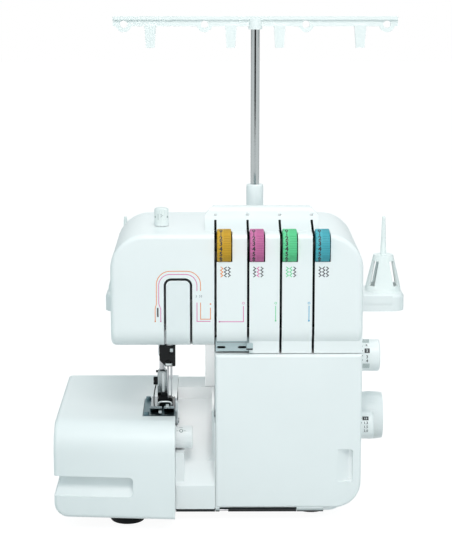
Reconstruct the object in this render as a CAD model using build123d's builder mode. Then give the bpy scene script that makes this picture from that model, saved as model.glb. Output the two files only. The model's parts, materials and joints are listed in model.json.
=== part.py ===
"""Domestic four-thread overlock machine: covers, frame, drive, stitch head, thread stand, controls.

X runs to the right, Y to the back and Z up, in millimetres. The origin is the centre of the
machine's footprint, on the table that it stands on.
"""

import os
from math import hypot

from build123d import *

os.makedirs("parts", exist_ok=True)

# Walls, gaps and fits
wall = 2.5
seam = 0.4
fit = 0.05
reach = 1
edge_break = 0.6

# Extension table, which slides off to the left
bed_width = 116
bed_tail = 18
bed_height = 105
bed_bottom = 13
bed_skew = 10
bed_nose = 28
bed_corner = 14
bed_edge = 4
grip_length = 76
grip_bottom = 34.5
grip_top = 54.5
grip_depth = 16
grip_side_depth = 7
grip_wrap = 60
grip_lip = 2
grip_corner = 4

# Depth of the body, and the thread stand behind it, whose reach sets the footprint
face_setback = 37
body_depth = 148
stand_right_reach = 236
stand_length = 311.6
stand_depth = 55
stand_bottom = 177.4
stand_height = 17.6
stand_corner = 14
stand_edge = 4
stand_wall = 3
stand_panel_depth = 1.2
stand_panel_inset = 13
stand_panel_bottom = 8.6
stand_panel_gap = 1.6

overall_width = bed_width + stand_right_reach
overall_depth = face_setback + body_depth + stand_depth
bed_left = -overall_width / 2
bed_right = bed_left + bed_width
bed_front = -overall_depth / 2
stand_right = overall_width / 2
stand_left = stand_right - stand_length
stand_back = overall_depth / 2
stand_front = stand_back - stand_depth
stand_top = stand_bottom + stand_height
bed_back = stand_front + bed_tail
bed_depth = bed_back - bed_front

# Head and column covers
head_overhang = 61.5
head_width = 241.8
head_bottom = 173
head_top = 283.5
head_corner = 34
head_edge = 5
chin = 18
column_offset = 38
column_step = 9.5
rear_shell_depth = 25
rear_edge = 8
body_corner = 26
panel_bottom = 167.3
panel_setback = 4.5
panel_height = 18
ledge_drop = 0.6
throat_left_reach = 15
throat_right_reach = 16
throat_back = 30

head_left = bed_right - head_overhang
head_right = head_left + head_width
face_y = bed_front + face_setback
column_left = bed_right + column_offset
rear_column_left = column_left - column_step
body_back = stand_front
split_y = body_back - rear_shell_depth
ledge_top = bed_height - ledge_drop

# Cooling slots and screw recesses in the back
vent_count = 7
vent_width = 3
vent_height = 30
vent_pitch = 8
vent_right_inset = 34
vent_z = 62
screw_recess_radius = 4.5
screw_recess_depth = 1.6
screw_recess_inset = 18
screw_recess_drop = 40

# Base and feet
base_thickness = 2.8
base_inset = 36
base_right_inset = 21
base_margin = 3
base_corner = 14
foot_height = 9.4
foot_radius = 21.5
foot_draft = 6
foot_round = 3
foot_inset = 69
left_foot_setback = 42.5
front_foot_inset = 46.7
front_foot_setback = 36
rear_foot_inset = 22
base_top = foot_height + base_thickness

# Front cover, which slides right on its hinge pin and swings down
cover_depth = 24
cover_edge = 3
cover_gap = 0.7
cover_lift = 0.8
cover_slide = 8
hinge_radius = 0.9
hinge_boss = 1.6
hinge_setback = 2
left_knuckle = 4
right_knuckle = 26
right_knuckle_inset = 62.3
pull_width = 15
pull_height = 33
pull_depth = 7
pull_inset = 8
pull_bottom = 39.5
pull_corner = 3

cover_left = column_left + cover_gap
cover_right = head_right
cover_bottom = base_top + cover_lift
cover_top = panel_bottom - cover_gap
cover_back = face_y + cover_depth
hinge_y = face_y + hinge_setback
hinge_z = base_top - hinge_boss
knuckles = [
    (cover_left, cover_left + left_knuckle),
    (cover_right - right_knuckle_inset, cover_right - right_knuckle_inset + right_knuckle),
]

# Thread slots and tension dials
slot_offset = 39
slot_pitch = 31.2
slot_width = 2.2
slot_count = 4
short_slots = 2
slot_top_depth = 45
short_slot_bottom = 179.5
dial_radius = 16.2
dial_width = 13.4
dial_setback = 9
dial_drop = 12
dial_offset = 1.5
dial_gap = 1.2
dial_window_gap = 0.5
dial_grooves = 52
groove_radius = 0.45
groove_rise = 0.1
disc_radius = 6
disc_thickness = 0.8
stud_radius = 2.5
carrier_wall = 3
carrier_rib = 2
carrier_rib_gap = 3.2
carrier_inset = 3
carrier_right_margin = 6
carrier_bottom_gap = 14
carrier_rib_front = 5
carrier_rib_drop = 9
carrier_rib_rise = 8
carrier_post_radius = 6
carrier_post_offset = 24

slot_x = [bed_right + slot_offset + k * slot_pitch for k in range(slot_count)]
dial_y = face_y + dial_setback
dial_rise = head_top - dial_drop
dial_left = [x + dial_offset for x in slot_x]
dial_right = [x + dial_width for x in dial_left]
window_radius = dial_radius + dial_window_gap
carrier_front = dial_y + dial_radius + 2 * carrier_wall
carrier_back = carrier_front + carrier_wall

# Thread cover tongue in the head's left front
tongue_left_reach = 10.3
tongue_width = 27
tongue_height = 68.5
tongue_corner = 7
tongue_gap = 2
tongue_stem_offset = 6
tongue_stem_width = 6
tongue_stem_rise = 14
tongue_stem_height = 10
tongue_left = bed_right - tongue_left_reach
tongue_right = tongue_left + tongue_width
tongue_top = head_bottom + tongue_height

# Needle bar, presser bar and needle plate
needle_inset = 6.1
needle_setback = 75
needle_pitch = 3.4
needle_radius = 0.6
needle_shank = 1
needle_tip = 113
needle_point = 5
needle_blade = 16
needle_taper = 3
needle_hold = 8
needle_bar_radius = 3.5
needle_bar_top = 268
needle_bar_hold = 9
clamp_width = 15.5
clamp_depth = 11
clamp_height = 20
clamp_bottom = 147.5
clamp_cut = 6
clamp_screw_radius = 1.6
clamp_screw_head = 2.5
clamp_screw_rise = 4
presser_inset = 13.7
presser_setback = 92
presser_bar_radius = 3
presser_bar_bottom = 128
presser_bar_gap = 7
shank_half = 4.9
shank_depth = 5
shank_bottom = 123
shank_top = 139.5
shank_crown = 3.5
shank_round = 1.5
ankle_half = 4
foot_screw_radius = 4
foot_screw_length = 4
foot_screw_rise = 4.5
foot_screw_slot = 1.2
sole_reach = 11
sole_side_gap = 1.3
sole_setback = 42
sole_length = 62
sole_gap = 0.3
sole_thickness = 2.5
toe_length = 12
toe_rise = 7
toe_thickness = 2
sole_clearance = 12
sole_slot = 2
sole_slot_offset = 5
lever_hub = 4.5
lever_setback = 11
lever_pivot_drop = 12
lever_length = 39
lever_drop = 30
lever_left_half = 5
lever_right_half = 4
lever_arm_half = 3
lever_tip_radius = 3.6
lever_pad_gap = 0.5
lever_lug_far = 12
lever_lug_near = 8
lever_lug_front = 2
lever_lug_back = 18
lever_lug_rise = 4
lever_root = 2
plate_left_reach = 31.6
plate_setback = 41
plate_length = 67
plate_thickness = 3.2
plate_corner = 3
plate_seat = 3
needle_notch_left = 4.5
needle_notch_front = 4
needle_notch_back = 3
spring_room = 38
spring_room_radius = 7
spring_length = 34
spring_radius = 4.6
spring_wire = 0.6
spring_turns = 7
spring_end_gap = 0.1
collar_thickness = 3
collar_margin = 1.4

needle_x = bed_right - needle_inset
needle_y = bed_front + needle_setback
clamp_right = bed_right - seam
clamp_left = clamp_right - clamp_width
clamp_front = needle_y - clamp_depth / 2
clamp_top = clamp_bottom + clamp_height
presser_x = bed_right - presser_inset
presser_y = bed_front + presser_setback
sole_left = presser_x - sole_reach
sole_right = bed_right - sole_side_gap
sole_front = bed_front + sole_setback
sole_back = sole_front + sole_length
sole_bottom = bed_height + sole_gap
plate_left = bed_right - plate_left_reach
plate_right = bed_right - seam
plate_front = bed_front + plate_setback
plate_back = plate_front + plate_length
plate_bottom = bed_height - plate_thickness

# Free arm under the table
arm_end_gap = 14
arm_side_gap = 1.5
arm_setback = 36
arm_depth = 119
arm_bottom = 58
arm_wall = 3
arm_window = 8
arm_left = bed_left + arm_end_gap
arm_right = bed_right - arm_side_gap
arm_front = bed_front + arm_setback
arm_back = arm_front + arm_depth
arm_top = plate_bottom

# Feed dogs on a shelf of the free arm
feed_rails = 3
feed_first = 17
feed_pitch = 5.5
feed_offset = 8
feed_length = 20
feed_width = 2.6
feed_slot_gap = 0.6
feed_slot_room = 3
feed_sink = 0.5
feed_teeth = 8
feed_tooth = 1
feed_margin = 3
feed_carriage_length = 35
feed_carriage_top = 7
feed_carriage_thickness = 4
feed_shelf_gap = 0.3
feed_shelf_thickness = 3.7
feed_shelf_front = 32
feed_shelf_right = 4
feed_post_width = 5
feed_post_front = 26
feed_post_back = 44

# Knives, loopers and plate screws
knife_lead = 6
knife_length = 8
knife_top = 111
knife_pivot_offset = 5
knife_pivot_z = 90
knife_hub = 5
knife_thickness = 1.5
knife_blade = 0.9
knife_dip = 3
knife_gap = 0.3
knife_root = 3
knife_sink = 0.2
knife_notch = 1.6
knife_notch_room = 4
knife_pin_end = 3
looper_pin = 3
looper_hub = 6
looper_thickness = 3.5
looper_root = 4
looper_blade = 5
looper_tip = 2.5
lower_looper_offset = 34
lower_looper_z = 70
lower_looper_setback = 12
lower_looper_rise = 17.5
lower_looper_reach = 26
upper_looper_offset = 11
upper_looper_z = 67
upper_looper_setback = 6.5
upper_looper_rise = 26
upper_looper_reach = 6
upper_looper_bend = 15
screw_radius = 1.3
screw_head = 2.4
screw_inset = 3.6
screw_end_inset = 5

# Frame, main shaft and motor
frame_setback = 77
frame_gap = 2
frame_floor = 6
frame_round = 3
frame_inset = 4
frame_arm_bottom = 205
frame_arm_top = 258
frame_column_width = 44
root_bottom = 56
root_top = 74
root_setback = 26
head_block_reach = 26
head_block_margin = 14
head_block_bottom = 192
shaft_radius = 5
shaft_setback = 14
shaft_z = 82
shaft_hold = 16
crank_gap = 2
crank_width = 9
crank_throw = 2
crank_wall = 3
bush_wall = 3
pedestal_width = 10
pedestal_inset = 40.5
pedestal_top = 112
motor_radius = 20
motor_gap = 10.8
motor_end_gap = 2
motor_chamfer = 2
motor_drop = 42.5
motor_offset = 6
motor_shaft_radius = 4
motor_shaft_inset = 4
motor_foot_inset = 8
motor_foot_half = 12
shaft_pulley_radius = 26
motor_pulley_radius = 9
pulley_gap = 4
pulley_width = 10
pulley_flange = 1
belt_thickness = 2
belt_gap = 0.3
belt_side_gap = 0.5
handwheel_radius = 24.2
handwheel_width = 23.5
handwheel_gap = 4
handwheel_rim = 1.2
handwheel_corner = 4.5
handwheel_grooves = 40
handwheel_groove = 0.7
handwheel_groove_rise = 0.4

frame_front = face_y + frame_setback
frame_back = split_y - frame_gap
frame_depth = frame_back - frame_front
frame_top = base_top + frame_floor
frame_column_left = column_left + frame_inset
frame_column_right = frame_column_left + frame_column_width
shaft_y = frame_front + shaft_setback
motor_y = shaft_y + motor_offset
motor_z = shaft_z - motor_drop
pedestal_left = head_right - pedestal_inset
pedestal_right = pedestal_left + pedestal_width
pulley_left = pedestal_right + pulley_gap
pulley_right = pulley_left + pulley_width
head_block_left = presser_x - head_block_reach
head_block_right = needle_x + head_block_margin
head_block_front = needle_y - head_block_margin

# Controls, supply inlet and power switch on the right side
side_wall = head_right - wall
side_gap = 0.8
side_rim = 12
control_setback = 85
control_shaft_radius = 4
control_boss = 8
control_clip = 1.5
control_clip_width = 1.6
control_chamfer = 1.5
control_round = 2
control_groove = 0.5
control_grip_inset = 2
control_grip_width = 7
control_print_angle = 100
length_dial_radius = 15.7
length_dial_width = 19.5
length_dial_z = 155
length_dial_teeth = 36
feed_dial_radius = 13.4
feed_dial_width = 14.5
feed_dial_z = 83.3
feed_dial_teeth = 30
control_y = bed_front + control_setback
inlet_offset = 4
inlet_y = control_y - inlet_offset
inlet_z = 50
inlet_width = 26
inlet_height = 19
inlet_depth = 14
inlet_flange = 2
inlet_wall = 2
inlet_pin_radius = 1.5
inlet_pin_spread = 10.4
switch_offset = 22
switch_y = shaft_y - switch_offset
switch_z = inlet_z
switch_width = 15
switch_height = 21
switch_depth = 12
switch_floor = 3
switch_rim = 1.5
rocker_rise = 3
rocker_axle = 1.5
rocker_side_gap = 0.3
rocker_end_gap = 0.8
rocker_hole_depth = 1

# Stitch width knob and presser pressure knob
width_knob_radius = 11
width_knob_length = 17.5
width_knob_setback = 55
width_knob_z = 80.2
width_knob_grooves = 30
width_knob_groove = 0.4
width_knob_chamfer = 0.8
width_knob_shaft = 8
knob_rib_width = 8
knob_rib_gap = 1
knob_rib_setback = 4
pressure_knob_radius = 7
pressure_knob_height = 17.5
pressure_knob_collar = 5
pressure_knob_grooves = 16
pressure_knob_groove = 0.7
pressure_screw_radius = 4
width_knob_y = bed_front + width_knob_setback
pressure_seat = 251

# Trim chute
chute_side_gap = 0.3
chute_wall_gap = 0.2
chute_lip = 35.6
chute_riser = 12.5
chute_riser_depth = 4
chute_blend = 6
chute_crown = 10
chute_left = bed_right + chute_side_gap
chute_right = column_left - chute_wall_gap
chute_back = split_y - chute_riser_depth

# Thread guides on the head
guide_overhang = 10
guide_right_overhang = 6.5
guide_thickness = 3
guide_dial_overlap = 3
guide_setback = 60
guide_top = 303
guide_corner = 8
guide_hole = 1.6
guide_hole_drop = 8
strip_thickness = 1.2
strip_slot_length = 8
strip_slot_width = 2.4
strip_slot_rise = 5
strip_slot_inset = 5.5

# Telescopic thread guide, spool pins and cone holders
post_radius = 8.8
post_top = 307.6
post_chamfer = 1.2
rod_radius = 4.5
rod_insert = 40
post_bottom = 120
bar_length = 292
bar_bottom = 470.7
bar_height = 9.8
bar_flange = 3
bar_web = 4
bar_depth = 10
bar_boss = 3
inner_reach = 52
outer_reach = 135
inner_peg_reach = 25
outer_peg_reach = 107.7
eye_hole = 3.8
eye_ring = 8
eye_z = 472.6
peg_length = 22
peg_width = 12
peg_depth = 7
peg_taper = 4
pin_top = 273.5
pin_radius = 3.2
pin_tip_radius = 1.7
pin_shoulder = 2
pin_tip = 1
pin_tip_break = 0.7
cone_top = 233
cone_top_radius = 10.3
cone_base_radius = 18.5
cone_rim = 4
cone_wall = 2
cone_windows = 4
cone_window_width = 7
cone_window_turn = 45

post_x = (stand_left + stand_right) / 2
post_y = (stand_front + stand_back) / 2
spool_x = [post_x - outer_reach, post_x - inner_reach, post_x + inner_reach, post_x + outer_reach]
peg_x = [post_x - outer_peg_reach, post_x - inner_peg_reach, post_x + inner_peg_reach]
peg_x.append(post_x + outer_peg_reach)
bar_top = bar_bottom + bar_height


# Short builders for blocks and round bars placed by their limits
def block(x, y, z, mode=Mode.ADD):
    """A block between the limits given as pairs."""
    with Locations((sum(x) / 2, sum(y) / 2, sum(z) / 2)):
        Box(x[1] - x[0], y[1] - y[0], z[1] - z[0], mode=mode)


def bar_along_x(x, y, z, radius, mode=Mode.ADD):
    """A round bar between two x limits."""
    with Locations(Location((x[0], y, z), (0, 90, 0))):
        Cylinder(radius, x[1] - x[0], align=(Align.CENTER, Align.CENTER, Align.MIN), mode=mode)


def bar_along_y(x, y, z, radius, mode=Mode.ADD):
    """A round bar between two y limits."""
    with Locations(Location((x, y[0], z), (-90, 0, 0))):
        Cylinder(radius, y[1] - y[0], align=(Align.CENTER, Align.CENTER, Align.MIN), mode=mode)


def bar_along_z(x, y, z, radius, mode=Mode.ADD):
    """A round bar between two z limits."""
    with Locations((x, y, z[0])):
        Cylinder(radius, z[1] - z[0], align=(Align.CENTER, Align.CENTER, Align.MIN), mode=mode)


def front_plane(y):
    """A plane at depth y, seen from the front: its own axes are X and Z."""
    return Plane.XZ.offset(-y)


def side_plane(x):
    """A plane at x, seen from the right: its own axes are Y and Z."""
    return Plane.YZ.offset(x)


def rectangle(x, y):
    """A rectangle between the limits given as pairs, in the sketch's own axes."""
    with Locations((sum(x) / 2, sum(y) / 2)):
        Rectangle(x[1] - x[0], y[1] - y[0])


# Extension table: one skewed profile with a rounded nose, hollow inside, with a finger grip
skew_length = hypot(bed_width, bed_skew)
skew_direction = (-bed_width, bed_skew, 0)
grip_end = bed_left + grip_length
grip_end_front = bed_front + bed_skew * (bed_right - grip_end) / bed_width


def table_solid(inset):
    """The table's outside form, or with an inset the space inside it."""
    with BuildPart() as form:
        with BuildSketch(side_plane(bed_right)) as profile:
            with Locations((bed_front + inset, bed_bottom + inset)):
                Rectangle(
                    bed_depth + bed_skew,
                    bed_height - bed_bottom - 2 * inset,
                    align=(Align.MIN, Align.MIN),
                )
            fillet(profile.vertices().group_by(Axis.Y)[-1].sort_by(Axis.X)[0], bed_nose - inset)
        extrude(amount=skew_length * (bed_width - inset) / bed_width, dir=skew_direction)
        split(bisect_by=front_plane(bed_back - inset))
        fillet(form.faces().sort_by(Axis.X)[0].edges().sort_by(Axis.Z)[0], bed_corner - inset)
        top_edges = form.faces().sort_by(Axis.X)[0].edges().filter_by(Axis.Y)
        fillet(top_edges.sort_by(Axis.Z)[-1], bed_edge - inset)
    return form.part


table_outside = table_solid(0)
table_inside = table_solid(wall)

with BuildPart() as grip_cutter:
    with BuildSketch(side_plane(grip_end)):
        with BuildLine():
            Polyline(
                (grip_end_front - grip_depth, grip_top),
                (grip_end_front + grip_depth, grip_top),
                (grip_end_front + grip_lip, grip_bottom),
                (grip_end_front - grip_depth, grip_bottom),
                close=True,
            )
        make_face()
    extrude(amount=skew_length * (grip_length + wall) / bed_width, dir=skew_direction)
    end_face = grip_cutter.faces().sort_by(Axis.X)[-1]
    fillet(end_face.edges().filter_by(Axis.Y), grip_corner)
    with BuildSketch(front_plane(bed_front + bed_skew - grip_depth)):
        with BuildLine():
            Polyline(
                (bed_left - wall, grip_top),
                (bed_left + grip_side_depth, grip_top),
                (bed_left + grip_lip / 2, grip_bottom),
                (bed_left - wall, grip_bottom),
                close=True,
            )
        make_face()
    extrude(amount=-(grip_wrap + grip_depth))

with BuildPart() as grip_backing:
    block(
        (bed_left, grip_end + wall),
        (bed_front, bed_front + bed_skew + grip_depth + wall),
        (grip_bottom - wall, grip_top + wall),
    )
    block(
        (bed_left, bed_left + grip_side_depth + wall),
        (bed_front, bed_front + bed_skew + grip_wrap + wall),
        (grip_bottom - wall, grip_top + wall),
    )
    add(table_outside, mode=Mode.INTERSECT)

with BuildPart() as nose_end:
    block((bed_right - wall, bed_right), (bed_front, arm_front - seam), (bed_bottom, bed_height))
    add(table_outside, mode=Mode.INTERSECT)

with BuildPart() as extension_table:
    add(table_outside)
    add(table_inside, mode=Mode.SUBTRACT)
    block(
        (bed_left + bed_corner, bed_right),
        (bed_front + bed_skew + wall, bed_back - wall),
        (bed_bottom, bed_bottom + 2 * wall),
        Mode.SUBTRACT,
    )
    add(grip_backing.part)
    add(nose_end.part)
    add(grip_cutter.part, mode=Mode.SUBTRACT)
    block(
        (plate_left - seam, bed_right + wall),
        (plate_front - seam, plate_back + seam),
        (bed_height - 2 * wall, bed_height + wall),
        Mode.SUBTRACT,
    )

# Base tray with the hinge barrel along its front edge, and rubber feet under it
base_left = bed_left + base_inset
base_right = head_right - base_right_inset
base_front = hinge_y + hinge_boss + reach
base_back = body_back - base_margin
barrel = (knuckles[0][1] + cover_slide + seam, knuckles[1][0] - seam)
bead = (chute_left, cover_left - seam)
foot_places = [
    (bed_left + foot_inset, bed_front + left_foot_setback),
    (head_right - front_foot_inset, base_front + front_foot_setback),
    (bed_left + foot_inset, base_back - rear_foot_inset),
    (base_right - rear_foot_inset, base_back - rear_foot_inset),
]

with BuildPart() as base_tray:
    with BuildSketch(Plane.XY.offset(foot_height)):
        with Locations(foot_places[0], foot_places[2]):
            Circle(foot_radius + base_margin)
        make_hull()
        with Locations(((base_left + base_right) / 2, (base_front + base_back) / 2)):
            RectangleRounded(base_right - base_left, base_back - base_front, base_corner)
    extrude(amount=base_thickness)
    block(bead, (hinge_y - hinge_boss, base_front + reach), (foot_height, base_top))
    block(barrel, (hinge_y, base_front + reach), (foot_height, base_top))
    bar_along_x(barrel, hinge_y, hinge_z, hinge_boss)
    bar_along_x(barrel, hinge_y, hinge_z, hinge_radius + fit, Mode.SUBTRACT)

with BuildPart() as rubber_feet:
    with Locations([(place[0], place[1], foot_height) for place in foot_places]):
        Cone(
            foot_radius - foot_draft,
            foot_radius,
            foot_height,
            align=(Align.CENTER, Align.CENTER, Align.MAX),
        )
    fillet(rubber_feet.edges().group_by(Axis.Z)[0], foot_round)

# Main frame: floor, column, upper arm with the bar block, shaft pedestal and free arm root
lever_pivot_y = presser_y + lever_setback
lever_pivot_z = head_block_bottom - lever_pivot_drop

with BuildPart() as main_frame:
    with BuildSketch(front_plane(frame_front)) as frame_outline:
        rectangle((base_left + base_corner, base_right - base_corner), (base_top, frame_top))
        rectangle((frame_column_left, frame_column_right), (base_top, frame_arm_top))
        rectangle((head_block_left, pedestal_right), (frame_arm_bottom, frame_arm_top))
        rectangle((pedestal_left, pedestal_right), (base_top, pedestal_top))
        fillet(frame_outline.vertices(), frame_round)
    extrude(amount=-frame_depth)
    block(
        (arm_right, frame_column_left),
        (frame_front + root_setback, frame_back),
        (root_bottom, root_top),
    )
    block(
        (head_block_left, head_block_right),
        (head_block_front, frame_front + frame_inset),
        (head_block_bottom, frame_arm_top),
    )
    block(
        (presser_x - lever_lug_far, presser_x - lever_lug_near),
        (presser_y - lever_lug_front, presser_y + lever_lug_back),
        (head_bottom + lever_lug_rise, head_block_bottom + lever_lug_rise),
    )
    bar_along_x(
        (presser_x - lever_lug_far - reach, presser_x - lever_lug_near + reach),
        lever_pivot_y,
        lever_pivot_z,
        stud_radius,
        Mode.SUBTRACT,
    )
    bar_along_x(
        (frame_column_left - reach, pedestal_right + reach),
        shaft_y,
        shaft_z,
        shaft_radius + bush_wall,
        Mode.SUBTRACT,
    )
    bar_along_x(
        (pedestal_left - reach, pedestal_right + reach),
        motor_y,
        motor_z,
        2 * motor_shaft_radius,
        Mode.SUBTRACT,
    )
    bar_along_z(
        needle_x,
        needle_y,
        (head_block_bottom - reach, frame_arm_top + reach),
        needle_bar_radius + fit,
        Mode.SUBTRACT,
    )
    bar_along_z(
        presser_x,
        presser_y,
        (head_block_bottom - reach, pressure_seat),
        presser_bar_radius + fit,
        Mode.SUBTRACT,
    )
    bar_along_z(
        presser_x,
        presser_y,
        (pressure_seat - spring_room, pressure_seat),
        spring_room_radius,
        Mode.SUBTRACT,
    )
    bar_along_z(
        presser_x,
        presser_y,
        (pressure_seat - reach, frame_arm_top + reach),
        pressure_screw_radius + fit,
        Mode.SUBTRACT,
    )

# Free arm: a hollow casting that carries the needle plate, the loopers and the feed
knife_pivot_y = needle_y + knife_pivot_offset
carriage_top = arm_top - feed_carriage_top
carriage_bottom = carriage_top - feed_carriage_thickness
shelf_top = carriage_bottom - feed_shelf_gap
shelf_bottom = shelf_top - feed_shelf_thickness

with BuildPart() as free_arm:
    with BuildSketch(Plane.XY.offset(arm_bottom)):
        with Locations(((arm_left + arm_right) / 2, (arm_front + arm_back) / 2)):
            Rectangle(arm_right - arm_left, arm_depth)
    extrude(amount=arm_top - arm_bottom)
    fillet(free_arm.faces().sort_by(Axis.X)[0].edges().filter_by(Axis.Z), bed_corner)
    block(
        (arm_left + arm_wall, arm_right - arm_wall),
        (arm_front + arm_wall, arm_back - arm_wall),
        (arm_bottom, arm_top - arm_wall),
        Mode.SUBTRACT,
    )
    block(
        (plate_left + plate_seat, arm_right - arm_wall),
        (plate_front + plate_seat, plate_back - plate_seat),
        (arm_top - 2 * arm_wall, arm_top + reach),
        Mode.SUBTRACT,
    )
    block(
        (arm_right - 2 * arm_wall, arm_right + reach),
        (needle_y + arm_window, frame_front + arm_window),
        (arm_bottom, arm_top - arm_wall),
        Mode.SUBTRACT,
    )
    block(
        (arm_right - 2 * arm_wall, needle_x + needle_pitch / 2 + needle_shank + seam),
        (needle_y - needle_notch_front, needle_y + needle_notch_back),
        (arm_bottom, arm_top + reach),
        Mode.SUBTRACT,
    )
    block(
        (arm_right - arm_wall, arm_right),
        (arm_front, frame_front - reach),
        (base_top, arm_bottom + reach),
    )
    block(
        (plate_left - feed_post_width, plate_left),
        (needle_y + feed_post_front, needle_y + feed_post_back),
        (shelf_bottom, arm_top),
    )
    block(
        (plate_left - feed_post_width, needle_x - feed_shelf_right),
        (needle_y + feed_shelf_front, needle_y + feed_post_back),
        (shelf_bottom, shelf_top),
    )
    bar_along_x(
        (arm_right - 2 * arm_wall, arm_right + reach),
        width_knob_y,
        width_knob_z,
        control_shaft_radius + fit,
        Mode.SUBTRACT,
    )
    bar_along_x(
        (arm_right - 2 * arm_wall, arm_right + reach),
        knife_pivot_y,
        knife_pivot_z,
        stud_radius,
        Mode.SUBTRACT,
    )

# Needle plate with feed slots and an open needle and knife notch
feed_x = [needle_x - feed_first + k * feed_pitch for k in range(feed_rails)]
feed_front = needle_y + feed_offset
knife_front = needle_y - knife_lead
screw_places = [
    (plate_left + screw_inset, plate_front + screw_end_inset, bed_height),
    (plate_left + screw_inset, plate_back - screw_end_inset, bed_height),
]

with BuildPart() as needle_plate:
    block((plate_left, plate_right), (plate_front, plate_back), (plate_bottom, bed_height))
    fillet(needle_plate.edges().filter_by(Axis.Z).sort_by(Axis.X)[:2], plate_corner)
    for x in feed_x:
        block(
            (x - feed_width / 2 - feed_slot_gap, x + feed_width / 2 + feed_slot_gap),
            (feed_front - feed_slot_room, feed_front + feed_length + feed_slot_room),
            (plate_bottom - reach, bed_height + reach),
            Mode.SUBTRACT,
        )
    block(
        (needle_x - needle_notch_left, plate_right + reach),
        (needle_y - needle_notch_front, needle_y + needle_notch_back),
        (plate_bottom - reach, bed_height + reach),
        Mode.SUBTRACT,
    )
    block(
        (plate_right - knife_notch, plate_right + reach),
        (knife_front - knife_notch_room, needle_y + needle_notch_back),
        (plate_bottom - reach, bed_height + reach),
        Mode.SUBTRACT,
    )
    with Locations(*screw_places):
        CounterSinkHole(screw_radius + fit, screw_head + fit)

with BuildPart() as plate_screws:
    with Locations(*screw_places):
        CounterSinkHole(screw_radius, screw_head, plate_thickness, mode=Mode.ADD)

# Feed dogs: toothed rails on one carriage
rail_top = bed_height - feed_sink

with BuildPart() as feed_dogs:
    block(
        (feed_x[0] - feed_margin, feed_x[-1] + feed_margin),
        (feed_front, feed_front + feed_carriage_length),
        (carriage_bottom, carriage_top),
    )
    for x in feed_x:
        with BuildSketch(side_plane(x - feed_width / 2)):
            rectangle((feed_front, feed_front + feed_length), (carriage_top - reach, rail_top))
            for tooth in range(feed_teeth):
                notch = feed_front + feed_length * (tooth + 1 / 2) / feed_teeth
                with Locations((notch, rail_top)):
                    RegularPolygon(feed_tooth, 4, mode=Mode.SUBTRACT)
        extrude(amount=feed_width)

# Knives: the lower one fixed to the arm, the upper one on a swinging holder
with BuildPart() as lower_knife:
    block(
        (arm_right, plate_right - knife_gap),
        (knife_front, knife_front + knife_length),
        (knife_pivot_z - knife_root, bed_height - knife_sink),
    )

with BuildPart() as upper_knife:
    with BuildSketch(side_plane(bed_right + seam)):
        with Locations((knife_pivot_y, knife_pivot_z)):
            Circle(knife_hub)
        with BuildLine():
            Polyline(
                (knife_pivot_y - knife_hub, knife_pivot_z),
                (knife_pivot_y + knife_hub, knife_pivot_z),
                (knife_front + knife_length, knife_top),
                (knife_front, knife_top),
                (knife_front, knife_top - knife_length),
                close=True,
            )
        make_face()
    extrude(amount=knife_thickness)
    block(
        (bed_right + seam - knife_blade, bed_right + seam),
        (knife_front, knife_front + knife_length),
        (bed_height - knife_dip, knife_top),
    )
    bar_along_x(
        (bed_right - reach, bed_right + knife_thickness + 2 * reach),
        knife_pivot_y,
        knife_pivot_z,
        stud_radius + fit,
        Mode.SUBTRACT,
    )

# Loopers on two pins inside the free arm
lower_pivot = (needle_x - lower_looper_offset, lower_looper_z)
upper_pivot = (needle_x - upper_looper_offset, upper_looper_z)
lower_plane = needle_y - lower_looper_setback
upper_plane = needle_y - upper_looper_setback

with BuildPart() as lower_looper:
    with BuildSketch(front_plane(lower_plane)):
        with Locations(lower_pivot):
            Circle(looper_hub)
        with BuildLine():
            x, z = lower_pivot
            Polyline(
                (x - looper_root, z),
                (x + looper_root, z),
                (x + looper_root + looper_blade, z + lower_looper_rise - looper_tip),
                (x + lower_looper_reach, z + lower_looper_rise),
                (x + 2 * looper_root, z + lower_looper_rise + looper_tip),
                (x + looper_root / 2, z + lower_looper_rise - looper_tip + reach),
                close=True,
            )
        make_face()
        with Locations(lower_pivot):
            Circle(looper_pin + fit, mode=Mode.SUBTRACT)
    extrude(amount=-looper_thickness)

with BuildPart() as upper_looper:
    with BuildSketch(front_plane(upper_plane)):
        with Locations(upper_pivot):
            Circle(looper_hub)
        with BuildLine():
            x, z = upper_pivot
            Polyline(
                (x - looper_root, z),
                (x + looper_root, z),
                (x + looper_root - reach, z + upper_looper_bend - reach),
                (x + upper_looper_reach, z + upper_looper_rise),
                (x - looper_root / 2, z + upper_looper_bend + reach),
                close=True,
            )
        make_face()
        with Locations(upper_pivot):
            Circle(looper_pin + fit, mode=Mode.SUBTRACT)
    extrude(amount=-looper_thickness)


# Trim chute: a slide between the table and the front cover, which falls from a riser to its lip
def chute_section(shift):
    """The chute's side profile, shifted back and down by the wall for the space behind it."""
    front = face_y + shift
    back = split_y - seam
    top = ledge_top - shift
    lip = chute_lip - shift
    rear = chute_back + shift
    bend = top - chute_riser
    crown = ((front + rear) / 2, (lip + bend) / 2 + chute_crown)
    with BuildSketch(side_plane(chute_left)) as section:
        with BuildLine():
            Polyline(
                (front, lip),
                (front, base_top),
                (back, base_top),
                (back, top),
                (rear, top),
                (rear, bend),
            )
            ThreePointArc((rear, bend), crown, (front, lip))
        make_face()
    return section.sketch


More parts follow.
